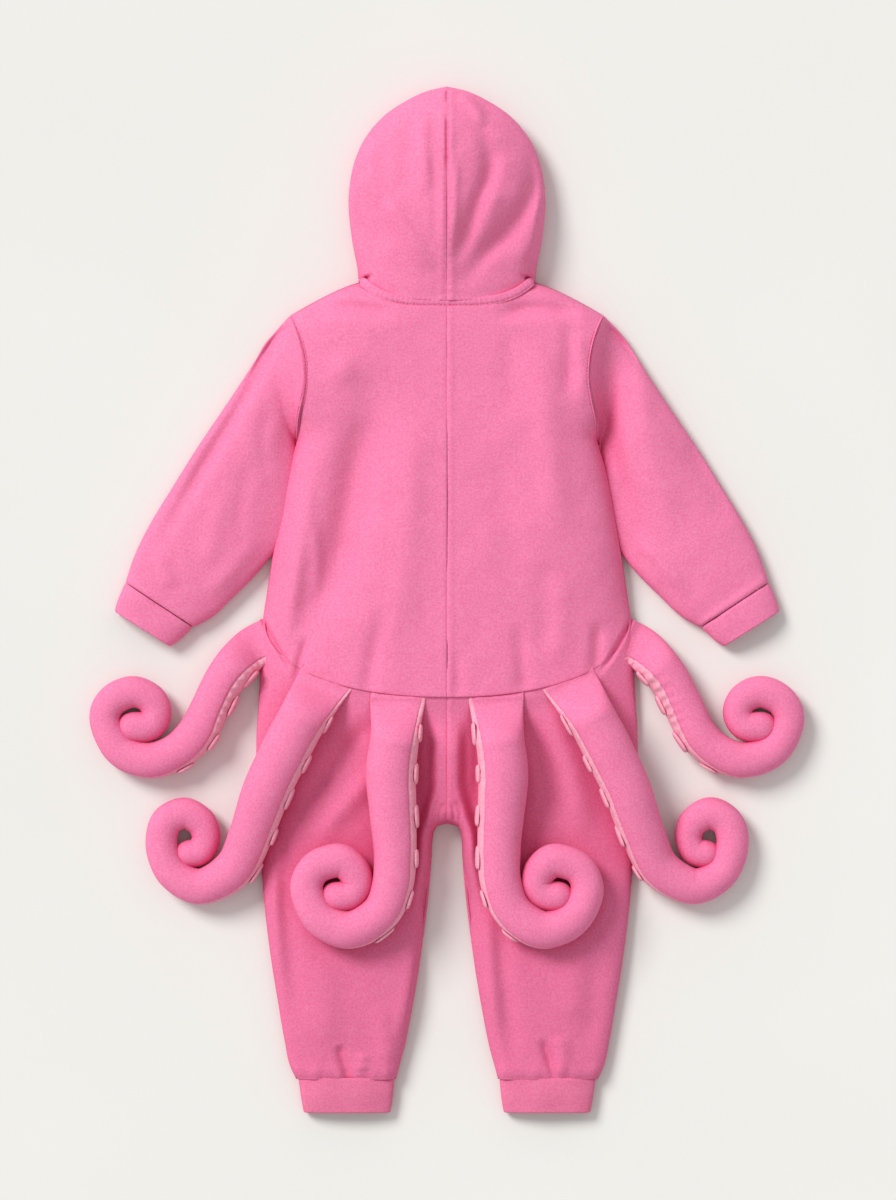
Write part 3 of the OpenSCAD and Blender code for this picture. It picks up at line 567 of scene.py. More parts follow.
def back_grid(full):
    """Outer face of one half of the back, rows from the hem to the shoulder, drawn as the right half."""
    u = np.sin(np.linspace(0, 1, 120) * np.pi / 2)
    rows = through(BODICE_ROWS, np.linspace(0, 6, 130))
    side_y = rows[:, 1:2]
    edge = looked_up(side_y, OUTER_EDGE)
    x = mix(-0.5, edge, u)
    y = mix(rows[:, 0:1], side_y, bowed(u))
    steep = full * smooth((y + 30) / 90)
    z = back_z(x, edge, BACK_H - rows[:, 2:3], shoulder_line(x) - y, steep)
    lower = np.stack([x, y, z], -1)
    t = np.linspace(0, 1, 76)[1:, None]
    hole = through(ARMHOLE, t[:, 0] * (len(ARMHOLE) - 1))
    x = mix(-0.5, hole[:, 0:1], u)
    at_top = u * SHOULDER_X
    top = np.where(at_top <= NECK_X, back_neckline(at_top), shoulder_line(at_top))
    off_line = hole[:, 1:2] - mix(UNDERARM_Y, SHOULDER_Y, t)
    y = mix(UNDERARM_Y, top, t) + off_line * smooth((u - 0.9) / 0.1)
    width = ARMHOLE_X + 35 * smooth(t / 0.45)
    z = back_z(x, width, BACK_H - 3 * t, shoulder_line(x) - y, mix(full, 1, smooth(t / 0.45)))
    upper = np.stack([x, y, z], -1)
    return np.concatenate([lower, upper])


BACK_GRIDS = {"left": back_grid(0.4), "right": back_grid(1)}
# The armhole seam as the back has it, from the underarm to the shoulder
ARMHOLE_EDGE = BACK_GRIDS["right"][129:, -1]
# Where the stitches beside each armhole seam lie, filled in as the back is made
STITCH_COL = 105
ARMHOLE_LINES = {}


def wavy(x, y, seed):
    return 0.8 * uneven(x, y, 70, seed) + 0.3 * uneven(x, y, 26, seed + 3) + 0.1 * uneven(x, y, 9, seed + 5)


def back_lie(x, y, side):
    """The folds and unevenness of one half, and the puff of cloth on the left shoulder blade."""
    puff = 5 * bump(np.hypot(x + 104, y - 230) / 15) * (side == "left")
    out = SIDES[side]
    tuck = fold(x, y, [(out * a, b) for a, b in ((150, -76), (166, -54), (182, -26), (194, 0))], 2.6, -4)
    return folds(x, y, BACK_FOLDS[side]) + wavy(x, y, 1 + SIDES[side]) + puff + tuck


def build_back(side):
    grid = on_side(BACK_GRIDS[side], side)
    x, y = grid[..., 0], grid[..., 1]
    lie = back_lie(x, y, side)
    rows, cols = grid.shape[:2]
    inland = np.linspace(0, 1, cols)[::-1]
    flat = smooth(inland / 0.1)
    # The cloth stands up a little along the armhole and the side seam
    welt = 1.6 * bump((inland - 0.04) / 0.024) * smooth((y - WAIST_Y) / 60)
    grid[..., 2] += lie * flat + welt + seam_relief(x, y) * smooth((y - HEM_Y) / 4)
    # The hem turns under where it meets the trousers
    grid[:4, :, 2] -= (0.6 * (1 - np.linspace(0, 1, 4)) ** 2)[:, None]
    ARMHOLE_LINES[side] = grid[137:-6:6, STITCH_COL]
    piece = cloth(f"back_{side}", grid)
    return tidy_piece(piece, "garment", PINK_FLEECE, "fleece", f"bodice_back_{side}")


# ---- Front -----------------------------------------------------------------------
def zip_rise(x, y):
    return ZIP_LIFT * (1 - smooth((x - ZIP_HALF) / 34)) * smooth((y - ZIP_END_Y + 60) / 50)


def build_front(side):
    """The chest, which lies flat on the surface, rolls up to the seams and stands off at the zip."""
    share = np.linspace(0, 1, 80)
    y0 = np.linspace(WAIST_Y, UNDERARM_Y, 80)[:, None]
    edge = looked_up(y0, OUTER_EDGE)
    x = mix(ZIP_HALF, edge, share)
    y = np.broadcast_to(y0, x.shape)
    z = np.maximum(SEAM_H * rolled(edge - x), zip_rise(x, y))
    lower = np.stack([x, y, z], -1)
    t = np.linspace(0, 1, 60)[1:, None]
    x = mix(ZIP_HALF, mix(ARMHOLE_X, SHOULDER_X, t), share)
    full = mix(ZIP_HALF, SHOULDER_X, share)
    top = np.where(full <= NECK_X, front_neckline(full), shoulder_line(full))
    y = mix(UNDERARM_Y, top, t)
    near = shoulder_line(x) - y
    z = np.maximum(np.where(full < NECK_X - 4, 0, SEAM_H * rolled(near)), zip_rise(x, y))
    grid = np.concatenate([lower, np.stack([x, y, z], -1)])
    grid[..., 2] += 0.35 * (1 + uneven(grid[..., 0], grid[..., 1], 30, 5)) * (grid[..., 2] < 2)
    piece = cloth(f"front_{side}", on_side(grid, side), out=(0, 0, -1))
    return tidy_piece(piece, "garment", PINK_FLEECE, "fleece", f"bodice_front_{side}")


# ---- Trousers --------------------------------------------------------------------
LEG_FOLDS = {
    "left": [
        ([(-160, -235), (-160, -300), (-154, -370), (-148, -440)], 11, -2.4),
        ([(-172, -250), (-170, -320), (-163, -400)], 6, 1.2),
        ([(-28, -345), (-34, -385), (-46, -440)], 9, 1.8),
        ([(-46, -146), (-84, -186), (-138, -246)], 12, 3.4),
        ([(-72, -118), (-108, -160), (-146, -214)], 10, -2.8),
        ([(-108, -444), (-104, -460), (-97, -484)], 5, -2.8),
        ([(-84, -452), (-84, -472)], 7, 1.5),
        ([(-70, -400), (-62, -440), (-66, -472)], 9, 1.4),
        ([(-130, -350), (-120, -400), (-126, -450)], 14, 1.4),
    ],
    "right": [
        ([(54, -310), (56, -370), (62, -420), (68, -466)], 10, -2.6),
        ([(38, -300), (44, -360), (50, -430)], 8, 1.6),
        ([(96, -100), (124, -170), (138, -246)], 15, 3.6),
        ([(84, -120), (100, -176), (106, -226)], 9, -2.6),
        ([(94, -438), (102, -458), (108, -484)], 4.5, -2.8),
        ([(110, -434), (116, -454), (114, -478)], 8, 2),
        ([(150, -340), (146, -400), (138, -460)], 12, -1.5),
        ([(130, -360), (124, -420)], 16, 1.3),
    ],
}


def closed(y):
    """0 where the seat is one surface, 1 where each leg is a tube of its own."""
    return smooth((-192 - y) / 32)


def leg_inner(y):
    return np.where(y >= CROTCH_Y, 0, looked_up(np.minimum(y, CROTCH_Y), INNER_EDGE))


def leg_x(u, v, y):
    return mix(leg_inner(y), looked_up(y, OUTER_EDGE), mix(u, v, closed(y)))


def leg_dome(x, y):
    """Share of the full height: the seat is one hump, each leg one of its own, rolled in at the inseam."""
    w = looked_up(y, OUTER_EDGE)
    a = INNER_EDGE[5][1] * smooth((CROTCH_Y + 34 - y) / 120)
    across = np.minimum(np.abs((2 * x - a - w) / (w - a)), 1)
    hump = mix(dome(x / w), (1 - across ** 4) ** 0.45, smooth((CROTCH_Y + 30 - y) / 110))
    inseam_y = CROTCH_Y + (ANKLE_Y - CROTCH_Y) * np.linspace(0, 1, 60) ** 2
    inseam = np.stack([looked_up(inseam_y, INNER_EDGE), inseam_y], -1)
    distance, _ = from_line(x, y, inseam)
    return hump * np.sqrt(1 - (1 - np.clip(distance / 15, 0, 1)) ** 2)


def leg_row_places():
    """Row positions, closer together round the crotch."""
    return np.concatenate([np.linspace(0, 5, 110), np.linspace(5, 9, 60)[1:], np.linspace(9, 14, 70)[1:]])


def build_trouser_back(side):
    s = np.linspace(0, 9, 110)
    u, v = through(BACK_COLS, s), through(LEG_COLS, s)
    rows = through(LEG_ROWS, leg_row_places())
    mid, edge_y = rows[:, 0:1], rows[:, 1:2]
    x0, x1 = leg_x(u, v, mid), leg_x(u, v, edge_y)
    x0 = np.where((mid > CROTCH_Y) & (u == 0), -0.5, x0)
    y = mix(mid, edge_y, bowed(u))
    x = mix(x0, x1, bowed(u))
    x[:, -1] = looked_up(y[:, -1], OUTER_EDGE)
    hump = leg_dome(np.maximum(x0, 0), np.broadcast_to(mid, x0.shape))
    hump[:, -1] = 0
    z = SEAM_H + (LEG_H * rows[:, 2:3] - SEAM_H) * hump
    grid = on_side(np.stack([x, y, z], -1), side)
    x, y = grid[..., 0], grid[..., 1]
    flat = smooth(hump / 0.7)
    # Under the hem the trousers lie just as the back above them does
    sewn = smooth((leg_row_places() - 12.5) / 1.4)[:, None]
    lie = (folds(x, y, LEG_FOLDS[side]) + 0.8 * wavy(x, y, 7 + SIDES[side])) * (1 - sewn)
    lie += back_lie(x, y, side) * sewn
    centre = seam_relief(x, y) * smooth((y - CROTCH_Y) / 10)
    out = SIDES[side]
    creases = [((3, -202), (7, -212), (7, -228)), ((9, -198), (13, -210), (12, -228))]
    puckers = sum(fold(x, y, [(out * a, b) for a, b in crease], 2.4, -1.8) for crease in creases)
    # The seat stands up either side of its seam and runs on along the inside of the legs
    inland = np.abs(x) - leg_inner(np.minimum(y, -245)) * smooth((-180 - y) / 65)
    puckers += 9.5 * (1 - smooth((inland - 8) / 13)) * smooth((-108 - y) / 45) * smooth((y + 330) / 90)
    puckers += fold(x, y, [(out * a, b) for a, b in ((29, -104), (31, -160), (28, -212))], 6, -3)
    # The leg swells a little over the cuff it is gathered into
    blouse = bump((y + 471) / 6)
    gathers = 0.7 * uneven(x, y * 0 + 5, 9, 21) * smooth((-455 - y) / 20)
    grid[..., 2] += (lie + puckers + gathers) * flat + centre + 1.2 * blouse * flat
    tuck = smooth((-475 - y) / 5)
    grid[..., 2] -= 1.0 * tuck * flat
    grid[..., 0] -= np.sign(x - SIDES[side] * 100) * 1.5 * tuck * (1 - flat)
    piece = cloth(f"trouser_back_{side}", grid)
    return tidy_piece(piece, "garment", LEG_FLEECE, "fleece", f"trouser_back_{side}")


def build_trouser_front(side):
    y = np.concatenate([np.linspace(-480, -240, 90), np.linspace(-238, -222, 17),
                        np.linspace(-218, WAIST_Y, 70)])[:, None]
    s = np.linspace(0, 9, 80)
    share, v = s / 9, through(LEG_COLS, s)
    w = looked_up(y, OUTER_EDGE)
    a = np.where(y < CROTCH_Y, leg_inner(y), mix(0.4, ZIP_HALF, smooth((y - ZIP_END_Y + 34) / 24)))
    x = mix(a, w, mix(share, v, closed(y)))
    inseam = np.where(y <= CROTCH_Y, x - a, 99)
    y = np.broadcast_to(y, x.shape)
    z = np.maximum(SEAM_H * rolled(np.minimum(w - x, inseam)), zip_rise(x, y))
    grid = np.stack([x, y, z], -1)
    grid[..., 2] += 0.35 * (1 + uneven(x, y, 30, 9)) * (z < 2)
    piece = cloth(f"trouser_front_{side}", on_side(grid, side), out=(0, 0, -1))
    return tidy_piece(piece, "garment", LEG_FLEECE, "fleece", f"trouser_front_{side}")


# ---- Sleeves and cuffs -----------------------------------------------------------
def signed_power(v, e):
    return np.sign(v) * np.abs(v) ** e


def tube_rings(rows, angle):
    """Rings of a tube that lies flat: rows of edge point, other edge point and height."""
    a, b, h = rows[:, None, 0:2], rows[:, None, 2:4], rows[:, None, 4]
    top = np.sin(angle) >= 0
    half = np.linalg.norm(b - a, axis=-1) / 2
    v = (b - a) / (2 * half[..., None])
    reach = half * signed_power(np.cos(angle), np.where(top, 0.83, 0.42))
    up = np.where(top, (h - SEAM_H), SEAM_H) * signed_power(np.sin(angle), np.where(top, 0.83, 0.42))
    return np.concatenate([(a + b) / 2 + reach[..., None] * v, (SEAM_H + up)[..., None]], -1)


# How far each sleeve dips beside its armhole seam, and the share of its height lost beside the body
ARMHOLE_DIP = {"left": 9, "right": 11}
SLEEVE_LOW = {"left": 0.35, "right": 0.6}
# How far the edge of the sleeve reaches in under the side of the body
SLEEVE_UNDER = {"left": 12, "right": 4}
SLEEVE_FOLDS = {
    "left": [
        ([(-166, 276), (-200, 207), (-236, 146), (-296, 42)], 8, -4.6),
        ([(-186, 232), (-214, 190), (-240, 150)], 10, 1.2),
        ([(-196, 140), (-206, 100), (-208, 60)], 8, -1.2),
        ([(-222, 110), (-232, 70), (-240, 30)], 9, 1.2),
        ([(-186, 66), (-212, 34), (-242, 2)], 9, 1.4),
        ([(-290, 50), (-282, 28), (-272, 12)], 8, 1.6),
        ([(-176, 200), (-184, 160), (-180, 120)], 8, -1.3),
    ],
    "right": [
        ([(164, 276), (159, 215), (165, 160), (178, 108), (198, 46)], 10, -3.6),
        ([(192, 250), (196, 190), (210, 120), (230, 60)], 12, 2.2),
        ([(236, 165), (262, 118), (284, 72)], 11, -1.8),
        ([(206, 190), (222, 140), (236, 90)], 12, 1.6),
        ([(190, 62), (216, 34), (244, 2)], 7, 2),
    ],
}


def build_sleeve(side):
    angle = np.linspace(0, 2 * np.pi, 112, endpoint=False)
    place = np.linspace(0, 8, 170)
    rows = through(SLEEVE_ROWS, place)
    grid = tube_rings(rows, angle)
    run = place * 31
    # Beside the body the sleeve lies low, with the back standing over it
    beside = (1 - smooth((1 + np.cos(angle)) / 1.15)) * (1 - smooth((run - 120) / 60))[:, None]
    grid[..., 2] -= SLEEVE_LOW[side] * beside * np.maximum(grid[..., 2] - SEAM_H, 0)
    under = (1 - smooth((1 + np.cos(angle)) / 0.8)) * (smooth((run - 16) / 40) - smooth((run - 96) / 40))[:, None]
    grid[..., 0] -= SLEEVE_UNDER[side] * under
    # The first ring follows the armhole seam over the back, and swells out of it over the arm
    top = np.sin(angle) > 0
    share = (1 - np.cos(angle)) / 2
    share = np.where(top, share, 0)
    edge = through(ARMHOLE_EDGE, (1 - share) * (len(ARMHOLE_EDGE) - 1))
    edge_y = edge[:, 1]
    ring_y = grid[0, :, 1]
    back_y = ARMHOLE_EDGE[:, 1]
    first = grid[0].copy()
    for axis in (0, 2):
        first[:, axis] = np.where(top, np.interp(ring_y, back_y, ARMHOLE_EDGE[:, axis]), first[:, axis])
    ease = (1 - smooth(run / 34))[:, None, None]
    grid = grid + ease * (first - grid[0])
    groove = -0.6 * bump(run / 1.3) + 0.6 * bump((run - 4.5) / 2.6)
    groove -= ARMHOLE_DIP[side] * (smooth((run - 1) / 15) - smooth((run - 22) / 60))
    grid = on_side(grid, side)
    x, y = grid[..., 0], grid[..., 1]
    flat = smooth(np.sin(angle) / 0.5)
    lie = folds(x, y, SLEEVE_FOLDS[side]) + 0.9 * wavy(x, y, 13 + SIDES[side])
    fade = smooth(run / 14)[:, None]
    grid[..., 2] += lie * flat * fade + groove[:, None] * flat
    end = run - run[-1]
    blouse = 1.4 * bump((end + 6) / 6) - 0.5 * bump(end / 2)
    grid[..., 2] += blouse[:, None] * flat
    piece = cloth(f"sleeve_{side}", grid, out=None, wrapped=True)
    tidy_piece(piece, None, PINK_FLEECE, "fleece", f"sleeve_{side}")
    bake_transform(piece)
    return piece


def build_cuff(name, side, rows, body, material, node, seed):
    """A folded band of fleece: soft groove at its seam, rounded fold at its open end."""
    angle = np.linspace(0, 2 * np.pi, 96, endpoint=False)
    knots = np.array(rows, float)
    place = np.linspace(0, len(rows) - 1, 44)
    rings = through(knots, place)
    run = np.concatenate([[0], np.cumsum(np.linalg.norm(np.diff(rings[:, 0:2], axis=0), axis=1))])
    left = run[-1] - run
    round_end = 1.3 * (1 - np.sqrt(1 - np.clip(1 - left / 1.4, 0, 1) ** 2))
    tuck = 0.9 * bump(run / 1.6)
    middle = (rings[:, 0:2] + rings[:, 2:4]) / 2
    for a in (0, 2):
        span = rings[:, a:a + 2] - middle
        length = np.linalg.norm(span, axis=1, keepdims=True)
        rings[:, a:a + 2] = middle + span * (1 - (round_end + 0.7 * tuck)[:, None] / length)
    rings[:, 4] -= round_end + tuck
    grid = tube_rings(rings, angle)
    flat = smooth(np.sin(angle) / 0.5)
    grid = on_side(grid, side)
    x, y = grid[..., 0], grid[..., 1]
    stitched = 0.5 * bump((run - run[-1] * 0.5) / 9)[:, None]
    gathers = 0.5 * uneven(x + y, x * 0, 8, seed) * bump(run / 8)[:, None]
    grid[..., 2] += (0.7 * uneven(x, y, 22, seed) + stitched + gathers) * flat
    piece = cloth(name, grid, out=None, wrapped=True)
    return tidy_piece(piece, body, material, "cuff_fleece", node)


# ---- Neck ------------------------------------------------------------------------
def neck_path():
    """Middle of the neck binding on the right half, from the back seam round to the zip."""
    x = np.array([0, 18, 36, 54, 68, 78, 84])
    y = back_neckline(x)
    z = back_z(x, ARMHOLE_X + 35, BACK_H - 3, shoulder_line(x) - y, 1)
    back = np.stack([x, y + 4.3, z - 1.2], -1)
    side = [(84.5, NECK_SIDE_Y, SEAM_H - 2)]
    fx = np.array([78, 62, 44, 26, ZIP_HALF + 1])
    fy = front_neckline(fx)
    front = np.stack([fx, fy + 3.2, zip_rise(fx, fy) + 2.5], -1)
    return np.concatenate([back, side, front])


def build_neck_binding():
    path = neck_path()
    half = through(path, np.linspace(0, len(path) - 1, 240))
    line = np.concatenate([half[:0:-1] * [-1, 1, 1], half])
    share = np.abs(np.linspace(-1, 1, len(line)))
    along = np.gradient(line, axis=0)
    along /= np.linalg.norm(along, axis=1, keepdims=True)
    up = np.array([0, 0, 1.0])
    across = np.cross(up, along)
    across /= np.linalg.norm(across, axis=1, keepdims=True)
    out = np.cross(along, across)
    angle = np.linspace(0, 2 * np.pi, 28, endpoint=False)
    wide = mix(4.8, 3.4, smooth((share - 0.45) / 0.15))[:, None]
    run = np.concatenate([[0], np.cumsum(np.linalg.norm(np.diff(line, axis=0), axis=1))])[:, None]
    pucker = 0.16 * np.sin(run * 2 * np.pi / 5.2) + 0.25 * uneven(run, run * 0, 14, 4)
    thick = 2.0 + pucker * (np.sin(angle) > 0)
    stitch_groove = 0.9 * bump((np.cos(angle) + 0.55) / 0.16) * (np.sin(angle) > 0)
    a = wide * signed_power(np.cos(angle), 0.7)
    b = thick * signed_power(np.sin(angle), 0.7) - stitch_groove
    grid = line[:, None] + a[..., None] * across[:, None] + b[..., None] * out[:, None]
    piece = closed_tube("neck_binding_roll", grid)
    return tidy_piece(piece, "garment", PINK_FLEECE, "fleece", "neck_binding")


def closed_tube(name, grid):
    """A tube with its two ends closed."""
    grid = facing(grid, True, None)
    rows, cols = grid.shape[:2]
    points = np.concatenate([grid.reshape(-1, 3), grid[:1].mean(axis=1), grid[-1:].mean(axis=1)])
    j = np.arange(cols)
    k = (j + 1) % cols
    first, last = rows * cols, rows * cols + 1
    caps = np.concatenate([np.stack([k, j, np.full(cols, first)], -1),
                           np.stack([(rows - 1) * cols + j, (rows - 1) * cols + k, np.full(cols, last)], -1)])
    return make_object(name, points, grid_quads(rows, cols, 0, True), caps)


def build_stitches():
    """Rows of lock stitches over the seams that the hood and the sleeves turn on."""
    lines = []
    path = neck_path()[:8] + [0, -2.6, 1.35]
    for side in SIDES:
        lines.append(on_side(through(path, np.linspace(0, 6.6, 60)), side))
        lines.append(ARMHOLE_LINES[side] + [0, 0, 0.15])
    points, quads = [], []
    for line in lines:
        length = np.concatenate([[0], np.cumsum(np.linalg.norm(np.diff(line, axis=0), axis=1))])
        for start in np.arange(1.5, length[-1] - 3, 3.4):
            ends = [np.array([np.interp(d, length, line[:, k]) for k in range(3)]) for d in (start, start + 2.3)]
            d = (ends[1] - ends[0]) / np.linalg.norm(ends[1] - ends[0])
            side = np.cross(d, [0, 0, 1])
            up = np.cross(side, d)
            first = len(points)
            for share, r in ((0, 0.08), (0.2, 0.3), (0.5, 0.38), (0.8, 0.3), (1, 0.08)):
                c = mix(ends[0], ends[1], share)
                for q in range(6):
                    a = q * np.pi / 3
                    points.append(c + r * (np.cos(a) * side + np.sin(a) * up))
            for i in range(4):
                for q in range(6):
                    n = (q + 1) % 6
                    quads.append((first + i * 6 + q, first + i * 6 + n, first + i * 6 + 6 + n,
                                  first + i * 6 + 6 + q))
    piece = make_object("seam_stitches", points, quads)
    return tidy_piece(piece, "garment", THREAD, "thread", "seam_threads")


# ---- Hood ------------------------------------------------------------------------
HOOD_FOLDS = {
    "left": [
        ([(-22, 492), (-24, 450), (-20, 402)], 7, 2.4),
        ([(-38, 482), (-41, 440), (-40, 396)], 10, -1.8),
        ([(-74, 462), (-77, 424), (-70, 388)], 9, 2.4),
        ([(-60, 404), (-43, 370), (-14, 326)], 9, 2.8),
        ([(-86, 416), (-78, 380), (-58, 346)], 13, -2.2),
        ([(-12, 450), (-12, 400), (-11, 350)], 5, -0.9),
    ],
    "right": [
        ([(30, 500), (42, 432), (31, 395), (17, 358), (8, 326)], 9, -4.2),
        ([(90, 460), (84, 404), (62, 371), (38, 345), (8, 306)], 10.5, -4.6),
        ([(60, 456), (52, 415), (34, 372)], 9, 1.4),
        ([(98, 412), (90, 370), (62, 324)], 13, 3.6),
        ([(10, 440), (9, 400), (7, 340)], 4, 1.4),
        ([(10, 504), (26, 494), (38, 470)], 6, 2.8),
        ([(60, 460), (52, 430), (56, 400)], 12, -2.2),
    ],
}
HOOD_ROWS, HOOD_TOP_COLS, HOOD_UNDER_COLS = 170, 90, 44


def build_hood(side):
    place = np.linspace(0, 10, HOOD_ROWS)
    rays = through(HOOD_RAYS, place)[:, None, :]
    rays[-1, 0, (0, 3)] = 0
    u = np.sin(np.linspace(0, 1, HOOD_TOP_COLS) * np.pi / 2)
    bend = mix(2.6, 1, np.clip(place / 3, 0, 1))[:, None]
    profile = mix(dome(u), ridged(u), smooth((place - 0.6) / 2)[:, None])
    top = np.stack([mix(-0.4, rays[..., 0], u), mix(rays[..., 2], rays[..., 1], u ** bend),
                    rays[..., 6] + (rays[..., 5] - rays[..., 6]) * profile], -1)
    turn = through(HOOD_UNDER, np.linspace(0, 4, HOOD_UNDER_COLS + 1)[1:])
    s, share = turn[:, 0], np.maximum(turn[:, 1], 0)
    under = np.stack([mix(rays[..., 0], rays[..., 3], s), mix(rays[..., 1], rays[..., 4], s),
                      rays[..., 6] * share], -1)
    grid = on_side(np.concatenate([top, under], axis=1), side)
    # The bottom edge is sewn in under the neck binding
    tucked = smooth(1 - place / 0.22)[:, None]
    tucked = tucked * np.concatenate([smooth((1 - u) / 0.1), np.zeros(HOOD_UNDER_COLS)])
    grid[..., 1] -= 4.5 * tucked
    low = (1 - smooth(place / 1.6))[:, None] * np.concatenate([smooth((1 - u) / 0.15), np.zeros(HOOD_UNDER_COLS)])
    grid[..., 2] += 3.4 * low
    x, y = grid[..., 0], grid[..., 1]
    crown = np.zeros(grid.shape[:2])
    crown[:, :HOOD_TOP_COLS] = smooth((1 - u) / 0.12)
    lie = folds(x, y, HOOD_FOLDS[side]) + wavy(x, y, 31 + SIDES[side])
    slit = 2.6 * np.maximum(smooth((y - 494) / 6) * smooth((514 - y) / 8),
                            smooth((y - 418) / 24) * smooth((486 - y) / 14))
    centre = -(0.9 + slit) * bump(x / 1.7) + 0.9 * bump((x - 5) / 3.4) + 0.7 * bump((x + 5) / 3.4)
    centre += 0.15 * np.sin(y * 2 * np.pi / 7) * bump((np.abs(x) - 3) / 3)
    grid[..., 2] += (lie * smooth(np.abs(x) / 3) + centre) * crown
    # Small pockets where the hood turns in above the shoulder
    pocket = 7 * bump((np.abs(x) - 80.5) / 4.6) * bump((y - 321.5 + (np.abs(x) - 80) * 0.3) / 2.4)
    grid[..., 2] -= pocket * (crown > 0)
    grid[..., 2] = np.maximum(grid[..., 2], 0.2)
    piece = cloth(f"hood_{side}_panel", grid, out=None)
    tidy_piece(piece, None, PINK_FLEECE, "fleece", f"hood_{side}")
    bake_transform(piece)
    return piece


def build_face_binding():
    half = np.array([(r[3], r[4]) for r in HOOD_RAYS], float)
    line = through(half, np.linspace(0, 10, 170))
    line = np.concatenate([line, (line * [-1, 1])[-2::-1]])
    along = np.gradient(line, axis=0)
    along /= np.linalg.norm(along, axis=1, keepdims=True)
    out = np.stack([-along[:, 1], along[:, 0]], -1)
    angle = np.linspace(0, 2 * np.pi, 32, endpoint=False)
    run = np.concatenate([[0], np.cumsum(np.linalg.norm(np.diff(line, axis=0), axis=1))])[:, None]
    pucker = 0.2 * np.sin(run * 2 * np.pi / 6) + 0.3 * uneven(run, run * 0, 17, 8)
    wide = 4.5 + 0.4 * pucker
    a = wide * signed_power(np.cos(angle), 0.8)
    b = (2.5 + 0.5 * pucker) * signed_power(np.sin(angle), 0.8)
    stitch = 0.7 * bump((np.cos(angle) + 0.5) / 0.18)
    b -= np.sign(np.sin(angle)) * stitch
    plan = (line + out * 4.6)[:, None] + a[..., None] * out[:, None]
    grid = np.concatenate([plan, (3 + b)[..., None]], -1)
    piece = closed_tube("face_binding_roll", grid)
    tidy_piece(piece, None, PINK_FLEECE, "fleece", "face_binding")
    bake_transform(piece)
    return piece


# ---- Tentacles -------------------------------------------------------------------
def unit(v):
    return v / np.maximum(np.linalg.norm(v, axis=-1, keepdims=True), 1e-9)


def limb(plan, t, angle, inset=0.0):
    """Points of a tentacle at knot positions t and at angles in degrees, one row per position."""
    knots = np.array(plan["knots"], float)
    n = len(knots) - 1
    lead = np.minimum(t, 0)[:, None] * (knots[1] - knots[0]) * [1, 1, 0, 0]
    p = through(knots, t) + lead
    t = np.maximum(t, 0)
    d = through(knots, np.minimum(t + 0.05, n)) - through(knots, np.maximum(t - 0.05, 0))
    away = np.linalg.norm(p[:, :2] - knots[0, :2], axis=1) * (t > 0)
    s = np.where(t > 2, 1, smooth(away / SWELL_LEN))
    flat = unit(np.stack([d[:, 1], -d[:, 0], 0 * t], -1))
    seam = np.array(plan["seam"], float)
    v = unit(mix(unit(seam[0] - seam[1]), flat, s[:, None]))
    tip = np.sqrt(np.maximum(1 - (np.maximum(t - n + TIP_KNOTS, 0) / TIP_KNOTS) ** 2, 0.0004))
    r = (p[:, 2] - 0.5) * tip
    full = 0.86 * (p[:, 2] - 0.8)
    half_h = mix(BASE_HALF_H, full, s)
    q = np.radians(angle)
    across = (r[:, None] - inset) * np.cos(q)
    up = (half_h * tip)[:, None] * np.sin(q) - inset * np.sin(q)
    centre = np.stack([p[:, 0], p[:, 1], p[:, 3] + half_h - plan["sink"] * (1 - s)], -1)
    return centre[:, None] + v[:, None] * across[..., None] + np.array([0, 0, 1.0]) * up[..., None]


def seam_angle(plan, t):
    """Angle of the underside's upper seam above the side that the tentacle bows out to."""
    places, angles = np.array(plan["under_seam"], float).T
    fine = np.linspace(places[0], places[-1], 400)
    eased = np.convolve(np.pad(np.interp(fine, places, angles), 15, "edge"), np.ones(31) / 31, "valid")
    return np.interp(t, fine, eased)


def ring_places(n):
    body = np.linspace(-BASE_LEAD, n - TIP_KNOTS, 236)
    turn = np.sin(np.linspace(0, np.pi / 2, 26))[1:]
    return np.concatenate([body, n - TIP_KNOTS + TIP_KNOTS * turn])


